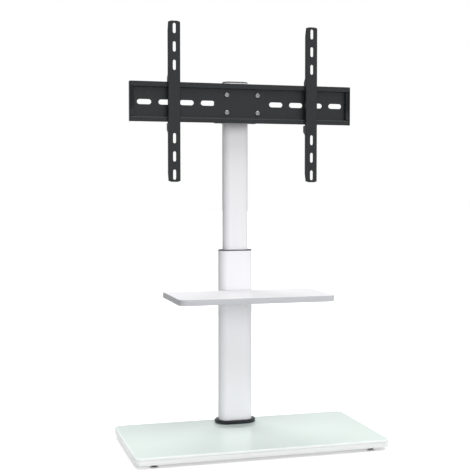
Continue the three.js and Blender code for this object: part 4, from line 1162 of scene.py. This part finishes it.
def slotted(length, reach, places, half, radius, block, spacing):
    """The grid and the holes of a bent sheet, reach long either way, with upright slots in its middle. The
    slots have this half length and radius, and block is the half size of the block round each."""
    middle = length[-1] / 2
    across = np.linspace(middle - block[0], middle + block[0], BLOCK_STEPS + 1)
    s = np.unique(np.round(np.concatenate([length, across]), SNAP))
    t = with_blocks(-reach, reach, [(place, block[1]) for place in places], spacing)
    return s, t, [(middle, place, half - radius, radius, True, *block) for place in places]


# Cross plate slots: half length, radius, distance from one to the next and from the middle to the first, the
# margin of the block round each, and how many there are on each side
SLOT_HALF, SLOT_RADIUS, SLOT_PITCH, SLOT_FIRST, SLOT_MARGIN, SLOTS = 0.020, 0.007, 0.060, 0.100, 0.006, 4
CAP_CORNER, CAP_RIM, CAP_PLUG_CORNER = 0.002, 0.001, 0.001      # radii of the end caps


class STAND_OT_cross_plate(StandOperator, bpy.types.Operator):
    """The cross plate, one bent sheet with a lipped rail at its top and bottom, and its end caps."""
    bl_idname = "stand.cross_plate"
    bl_label = "Cross plate"

    def execute(self, context):
        sizes = context.scene.stand_sizes
        box = span("cross_plate")
        wall, bend, half, web = sizes.cross_wall, sizes.cross_bend, box.size[2] / 2, sizes.cross_web / 2
        lip, back = box.low[1] + wall, box.high[1]
        # From the bottom lip's edge up the outside: lip, rail, web, rail, lip
        length, at = bent_profile([
            (lip, -half), (lip, -web, bend - wall), (back, -web, bend), (back, web, bend),
            (lip, web, bend - wall), (lip, half),
        ], steps=6)
        places = [side * (SLOT_FIRST + k * SLOT_PITCH) for side in (-1, 1) for k in range(SLOTS)]
        block = (SLOT_RADIUS + SLOT_MARGIN, SLOT_HALF + SLOT_MARGIN)
        s, t, holes = slotted(length, box.size[0] / 2, places, SLOT_HALF, SLOT_RADIUS, block, spacing=0.08)

        def shape(s_at, x_at, depth):
            """The profile's point at s_at and depth gives y and z, and the place along the plate gives x."""
            y, z = at(s_at, depth).T
            return np.stack([x_at + box.middle[0], y, z + box.middle[2]], axis=1)

        piece("rail_plate", [sheet_metal(s, t, holes, shape, wall)], "black_powder_coat", "head",
              "cross_plate", bevel=sizes.metal_edge)
        self.end_cap("right", 1, sizes)
        self.end_cap("left", -1, sizes)
        return {"FINISHED"}

    def end_cap(self, side, outward, sizes):
        """A lid on the rails' end, and a plug inside them. outward is 1 at +x and -1 at -x."""
        box, wall = span(f"cross_end_cap_{side}"), sizes.cross_wall
        outline = rounded_rect(*box.size[1:], CAP_CORNER, steps=5)
        points, faces = along_x(slab(outline, 0, wall, CAP_RIM, steps=4))
        if outward < 0:
            points, faces = points * (-1, 1, 1), [corners[::-1] for corners in faces]
        face = (box.high[0] if outward > 0 else box.low[0]) - outward * wall
        width, height = box.size[1] - 2 * (wall + sizes.fit), sizes.cross_web - 2 * (wall + sizes.fit)
        ends = sorted((face, face - outward * (box.size[0] - wall)))
        plug = along_x(extruded(rounded_rect(width, height, CAP_PLUG_CORNER, steps=3), *ends))
        piece(f"rail_end_cap_{side}",
              [moved((points, faces), (face, *box.middle[1:])), moved(plug, (0, *box.middle[1:]))],
              "black_moulded_abs", "head", f"cross_end_cap_{side}")


# An arm's hooks: wall, reach past the rail's lip, and shoulder; and its feet: height, drop under the rail
HOOK_WALL, HOOK_RISE, HOOK_DROP, SHOULDER = 0.006, 0.011, 0.008, 0.009
FOOT_GAP, FOOT_DROP = 0.003, 0.021
TAPER, TAPER_DEPTH, TAPER_MARGIN, ARM_STUB = 0.015, 0.0045, 0.010, 1.3     # the stub is per bend radius
BLUNT, GENTLE, FOOT_ROOT, TIGHT, HOOK_BACK = 0.002, 0.006, 0.0015, 0.001, 0.004     # radii along its flanges
# Its slots, the block round each, and their places up and down from the middle
ARM_SLOT_HALF, ARM_SLOT_RADIUS, ARM_BLOCK, ARM_LEVELS = 0.014, 0.00425, (0.0085, 0.0175), (0.1, 0.15, 0.2)
ARM_CORNER, TAB_DROP, TAB = 0.008, 0.0135, 0.003    # corner of the web, the thumb screw's tab and its sheet
# Its thumb screw: height of the knob, shank radius, thread, flutes and their depth
KNOB, THUMB_SHANK, THUMB_PITCH, THUMB_THREAD_DEPTH, FLUTES, FLUTE = 0.010, 0.0025, 0.0008, 0.4, 8, 0.06
KNOB_END, KNOB_SHOULDER, KNOB_HUB, THUMB_TIP = 0.82, 0.8, 0.55, 0.7     # radii, per knob and per shank radius
KNOB_BEVEL, KNOB_SLOPE, THUMB_TOP = 0.0012, 0.003, 0.002        # heights of bevels along the screw


class STAND_OT_arms(StandOperator, bpy.types.Operator):
    """The two arms that hook over the rails, and their thumb screws."""
    bl_idname = "stand.arms"
    bl_label = "Arms"

    def execute(self, context):
        for side in ("left", "right"):
            self.arm(side, context.scene.stand_sizes)
            self.thumb_screw(side, context.scene.stand_sizes)
        return {"FINISHED"}

    def arm(self, side, sizes):
        """A channel: one sheet bent twice, slotted in its web, whose flanges are cut to hooks and feet."""
        box, rail = span(f"arm_{side}"), span("cross_plate")
        wall, bend, half, fit = sizes.arm_wall, sizes.arm_bend, box.size[0] / 2, sizes.fit
        stub, front, tall = bend * ARM_STUB, box.low[1], box.size[2] / 2
        flange, foot_out = rail.low[1] - fit - front, box.high[1] - front
        hook_in = flange + sizes.cross_wall + 2 * fit
        hook_out = hook_in + HOOK_WALL
        rail_top = rail.size[2] / 2
        seat = rail_top + fit
        hook_top, hook_end = seat + HOOK_RISE, rail_top - HOOK_DROP
        foot_top, foot_low = -rail_top - FOOT_GAP, -rail_top - FOOT_DROP
        end, shallow = tall - TAPER_MARGIN, flange - TAPER_DEPTH
        back_line = rounded([
            (stub, -end), (shallow, -end, BLUNT), (flange, -end + TAPER, GENTLE),
            (flange, foot_low - SHOULDER, GENTLE), (foot_out, foot_low, BLUNT), (foot_out, foot_top, BLUNT),
            (flange, foot_top, FOOT_ROOT), (flange, seat, TIGHT), (hook_in, seat, TIGHT),
            (hook_in, hook_end, TIGHT), (hook_out, hook_end, TIGHT), (hook_out, hook_top, HOOK_BACK),
            (flange, hook_top + SHOULDER, GENTLE), (flange, end - TAPER, GENTLE), (shallow, end, BLUNT),
            (stub, end),
        ], steps=4)
        length, at = bent_profile([(-half, stub), (-half, 0, bend), (half, 0, bend), (half, stub)], steps=6)
        total = length[-1]
        levels = [sign * level for sign in (-1, 1) for level in ARM_LEVELS]
        s, t, holes = slotted(length, tall, levels, ARM_SLOT_HALF, ARM_SLOT_RADIUS, ARM_BLOCK, spacing=0.06)
        depth_along, height_along = (back_line - (stub, 0))[1:-1].T
        right = np.stack([total + depth_along, height_along], axis=1)
        left = np.stack([-depth_along, height_along], axis=1)[::-1]

        def shape(s_at, z_at, depth):
            """Bends the sheet, and draws its ends in round the corners of the web."""
            x, y = at(s_at, depth).T
            inset = np.clip(np.abs(s_at - total / 2) - (half - ARM_CORNER), 0, ARM_CORNER)
            limit = tall - ARM_CORNER + np.sqrt(ARM_CORNER ** 2 - inset ** 2)
            web = (s_at > -HAIR) & (s_at < total + HAIR)
            z = np.where(web & (np.abs(z_at) > tall - HAIR), np.sign(z_at) * limit, z_at)
            return np.stack([x + box.middle[0], y + front, z + box.middle[2]], axis=1)

        channel = sheet_metal(s, t, holes, shape, wall, flaps=(right, left))
        inner, tab_low = half - wall, foot_top - TAB_DROP
        tab = extruded([(-inner, flange), (inner, flange), (inner, foot_out), (-inner, foot_out)],
                       tab_low, tab_low + TAB)
        piece(f"{side}_arm", [channel, moved(tab, (box.middle[0], front, box.middle[2]))],
              "black_powder_coat", f"{side}_arm", f"arm_{side}", bevel=sizes.metal_edge)

    def thumb_screw(self, side, sizes):
        """A screw with a fluted knob: the knob's radius is r (1 - 0.06 sin^2(8 u))."""
        box = span(f"arm_{side}_lock_screw")
        radius, shank, low, seat = box.size[0] / 2, THUMB_SHANK, box.low[2], box.low[2] + KNOB
        turns = range(int((box.high[2] - seat - THUMB_TOP) / THUMB_PITCH * 2))
        profile = [
            (radius * KNOB_END, low), (radius, low + KNOB_BEVEL), (radius, seat - KNOB_SLOPE),
            (radius * KNOB_SHOULDER, seat - KNOB_BEVEL), (radius * KNOB_HUB, seat), (shank, seat),
            *thread(shank, THUMB_PITCH, THUMB_THREAD_DEPTH, seat + KNOB_BEVEL / 2, turns),
            (shank * THUMB_TIP, box.high[2]),
        ]
        points, faces = turned(profile, sizes.turn_steps)
        flute = 1 - FLUTE * np.sin(np.arctan2(points[:, 1], points[:, 0]) * FLUTES) ** 2
        on_knob = points[:, 2] < seat - KNOB_BEVEL / 2
        points[on_knob, :2] *= flute[on_knob, None]
        piece(f"{side}_arm_thumb_screw", [seated((points, faces), box)], "black_moulded_abs",
              f"{side}_arm", f"arm_{side}_lock_screw")


# Stage

# Each sun-like lamp: name, where it stands, and its spread in degrees
LAMPS = (
    ("level_light", (0.0, -1.0, 0.1), 44), ("front_light", (0.15, -0.5, 0.85), 40),
    ("back_light", (0.07, 0.7, 0.7), 60),
)
STRIP_SIZE, STRIP_PLACE = (0.5, 0.04), (-0.5, 0, 0.03)      # of the strip light


def aim(obj, direction, axis="Z"):
    """Turns an object so that one of its axes looks along a direction."""
    obj.rotation_mode = "QUATERNION"
    obj.rotation_quaternion = Vector(direction).to_track_quat(axis, "Y")


def background_share(tree):
    """Gives 1 for rays that see the background straight on or through glass, and 1 for mirrored rays."""
    path = add(tree, "ShaderNodeLightPath").outputs
    seen = add(tree, "ShaderNodeMath", {"operation": "MAXIMUM"},
               {0: path["Is Camera Ray"], 1: path["Is Transmission Ray"]})
    return seen.outputs[0], path["Is Glossy Ray"]


class STAND_OT_stage(StandOperator, bpy.types.Operator):
    """The camera, the floor, the room and the soft boxes."""
    bl_idname = "stand.stage"
    bl_label = "Stage"

    def execute(self, context):
        stage = context.scene.stand_stage
        self.camera(stage)
        self.floor(stage)
        self.room(stage)
        for name, towards, spread in LAMPS:
            lamp = bpy.data.lights.new(name, "SUN")
            lamp.angle, lamp.energy = math.radians(spread), getattr(stage, name)
            obj = shown(name, lamp)
            aim(obj, towards)
            obj.visible_glossy = name == "front_light"
        self.strip(stage)
        context.scene.view_settings.view_transform = "Standard"
        return {"FINISHED"}

    def strip(self, stage):
        """A strip light close to the floor, which fills the shade on the left of the base."""
        lamp = bpy.data.lights.new("low_light", "AREA")
        lamp.shape, lamp.energy = "RECTANGLE", stage.low_light
        lamp.size, lamp.size_y = STRIP_SIZE
        obj = shown("low_light", lamp)
        obj.location = STRIP_PLACE
        aim(obj, (-1, 0, 0))
        obj.visible_glossy = obj.visible_camera = False

    def camera(self, stage):
        """Its lens in millimetres is the focal length in pixels, times sensor over frame."""
        data = bpy.data.cameras.new("camera")
        data.sensor_width = stage.sensor
        data.lens = stage.focal_pixels / stage.frame_pixels * stage.sensor
        obj = shown("camera", data)
        obj.location = stage.camera_place
        yaw, pitch = stage.camera_yaw, stage.camera_pitch
        aim(obj, (math.sin(yaw) * math.cos(pitch), math.cos(yaw) * math.cos(pitch), math.sin(pitch)), "-Z")
        bpy.context.scene.camera = obj

    def floor(self, stage):
        """A pale floor. Straight on it is lifted to white, so that only the object's shadow shows."""
        side = stage.floor_side / 2
        mesh = bpy.data.meshes.new("floor")
        mesh.from_pydata([(-side, -side, 0), (side, -side, 0), (side, side, 0), (-side, side, 0)], [],
                         [(0, 1, 2, 3)])
        shown("floor", mesh)
        material, tree, output = new_material("studio_floor")[:3]
        mesh.materials.append(material)
        matt = add(tree, "ShaderNodeBsdfDiffuse", {"Color": (*[stage.floor_grey] * 3, 1)})
        pale = add(tree, "ShaderNodeBsdfDiffuse", {"Color": (1, 1, 1, 1)})
        lift = add(tree, "ShaderNodeEmission", {"Strength": stage.floor_lift})
        both = add(tree, "ShaderNodeAddShader", links={0: pale.outputs[0], 1: lift.outputs[0]})
        seen, mirrored = background_share(tree)
        share = add(tree, "ShaderNodeMath", {"operation": "MULTIPLY_ADD", 1: stage.floor_mirrored},
                    {0: mirrored, 2: seen})
        mix = add(tree, "ShaderNodeMixShader",
                  links={0: share.outputs[0], 1: matt.outputs[0], 2: both.outputs[0]})
        tree.links.new(mix.outputs[0], output.inputs["Surface"])

    def room(self, stage):
        """The room is white straight on and pale in a mirror, and lights the object less from the left."""
        world = bpy.data.worlds.new("studio_room")
        bpy.context.scene.world = world
        world.use_nodes = True
        tree = world.node_tree
        tree.nodes.clear()
        output = add(tree, "ShaderNodeOutputWorld")
        direction = add(tree, "ShaderNodeTexCoord").outputs["Generated"]
        lean = add(tree, "ShaderNodeVectorMath", {"operation": "DOT_PRODUCT", 1: (stage.right_room, 0, 0)},
                   {0: direction})
        level = add(tree, "ShaderNodeMath", {"operation": "ADD", 1: stage.ambient},
                    {0: lean.outputs["Value"]})
        strength = add(tree, "ShaderNodeMath", {"operation": "MAXIMUM", 1: 0}, {0: level.outputs[0]})
        seen, mirrored = background_share(tree)
        glossy = add(tree, "ShaderNodeMix", {"data_type": "FLOAT", 3: stage.mirrored},
                     {"Factor": mirrored, 2: strength.outputs[0]})
        final = add(tree, "ShaderNodeMix", {"data_type": "FLOAT", 3: 1.0},
                    {"Factor": seen, 2: glossy.outputs[0]})
        shader = add(tree, "ShaderNodeBackground", {"Color": (1, 1, 1, 1)}, {"Strength": final.outputs[0]})
        tree.links.new(shader.outputs[0], output.inputs["Surface"])


# Registration

OPERATORS = (
    STAND_OT_stage, STAND_OT_base, STAND_OT_feet, STAND_OT_column_foot, STAND_OT_column, STAND_OT_column_back,
    STAND_OT_shelf, STAND_OT_shelf_clamp, STAND_OT_mast_clamp, STAND_OT_swivel, STAND_OT_cross_plate,
    STAND_OT_arms, STAND_OT_fasteners,
)


class STAND_PT_panel(bpy.types.Panel):
    """Lists the stand's pieces and settings."""
    bl_label = "Television stand"
    bl_idname = "STAND_PT_panel"
    bl_space_type = "VIEW_3D"
    bl_region_type = "UI"
    bl_category = "Stand"

    def draw(self, context):
        for operator in OPERATORS:
            self.layout.operator(operator.bl_idname)
        for name in SETTINGS:
            group, box = getattr(context.scene, name), self.layout.box()
            for setting in group.__annotations__:
                box.prop(group, setting)


SETTINGS = {"stand_sizes": StandSizes, "stand_colours": StandColours, "stand_stage": StandStage}
CLASSES = (*SETTINGS.values(), *OPERATORS, STAND_PT_panel)


def register():
    for cls in CLASSES:
        bpy.utils.register_class(cls)
    for name, group in SETTINGS.items():
        setattr(bpy.types.Scene, name, PointerProperty(type=group))


def unregister():
    for name in SETTINGS:
        delattr(bpy.types.Scene, name)
    for cls in reversed(CLASSES):
        bpy.utils.unregister_class(cls)


def main():
    register()
    for operator in OPERATORS:
        getattr(bpy.ops.stand, operator.bl_idname.split(".")[1])()


if __name__ == "__main__":
    main()
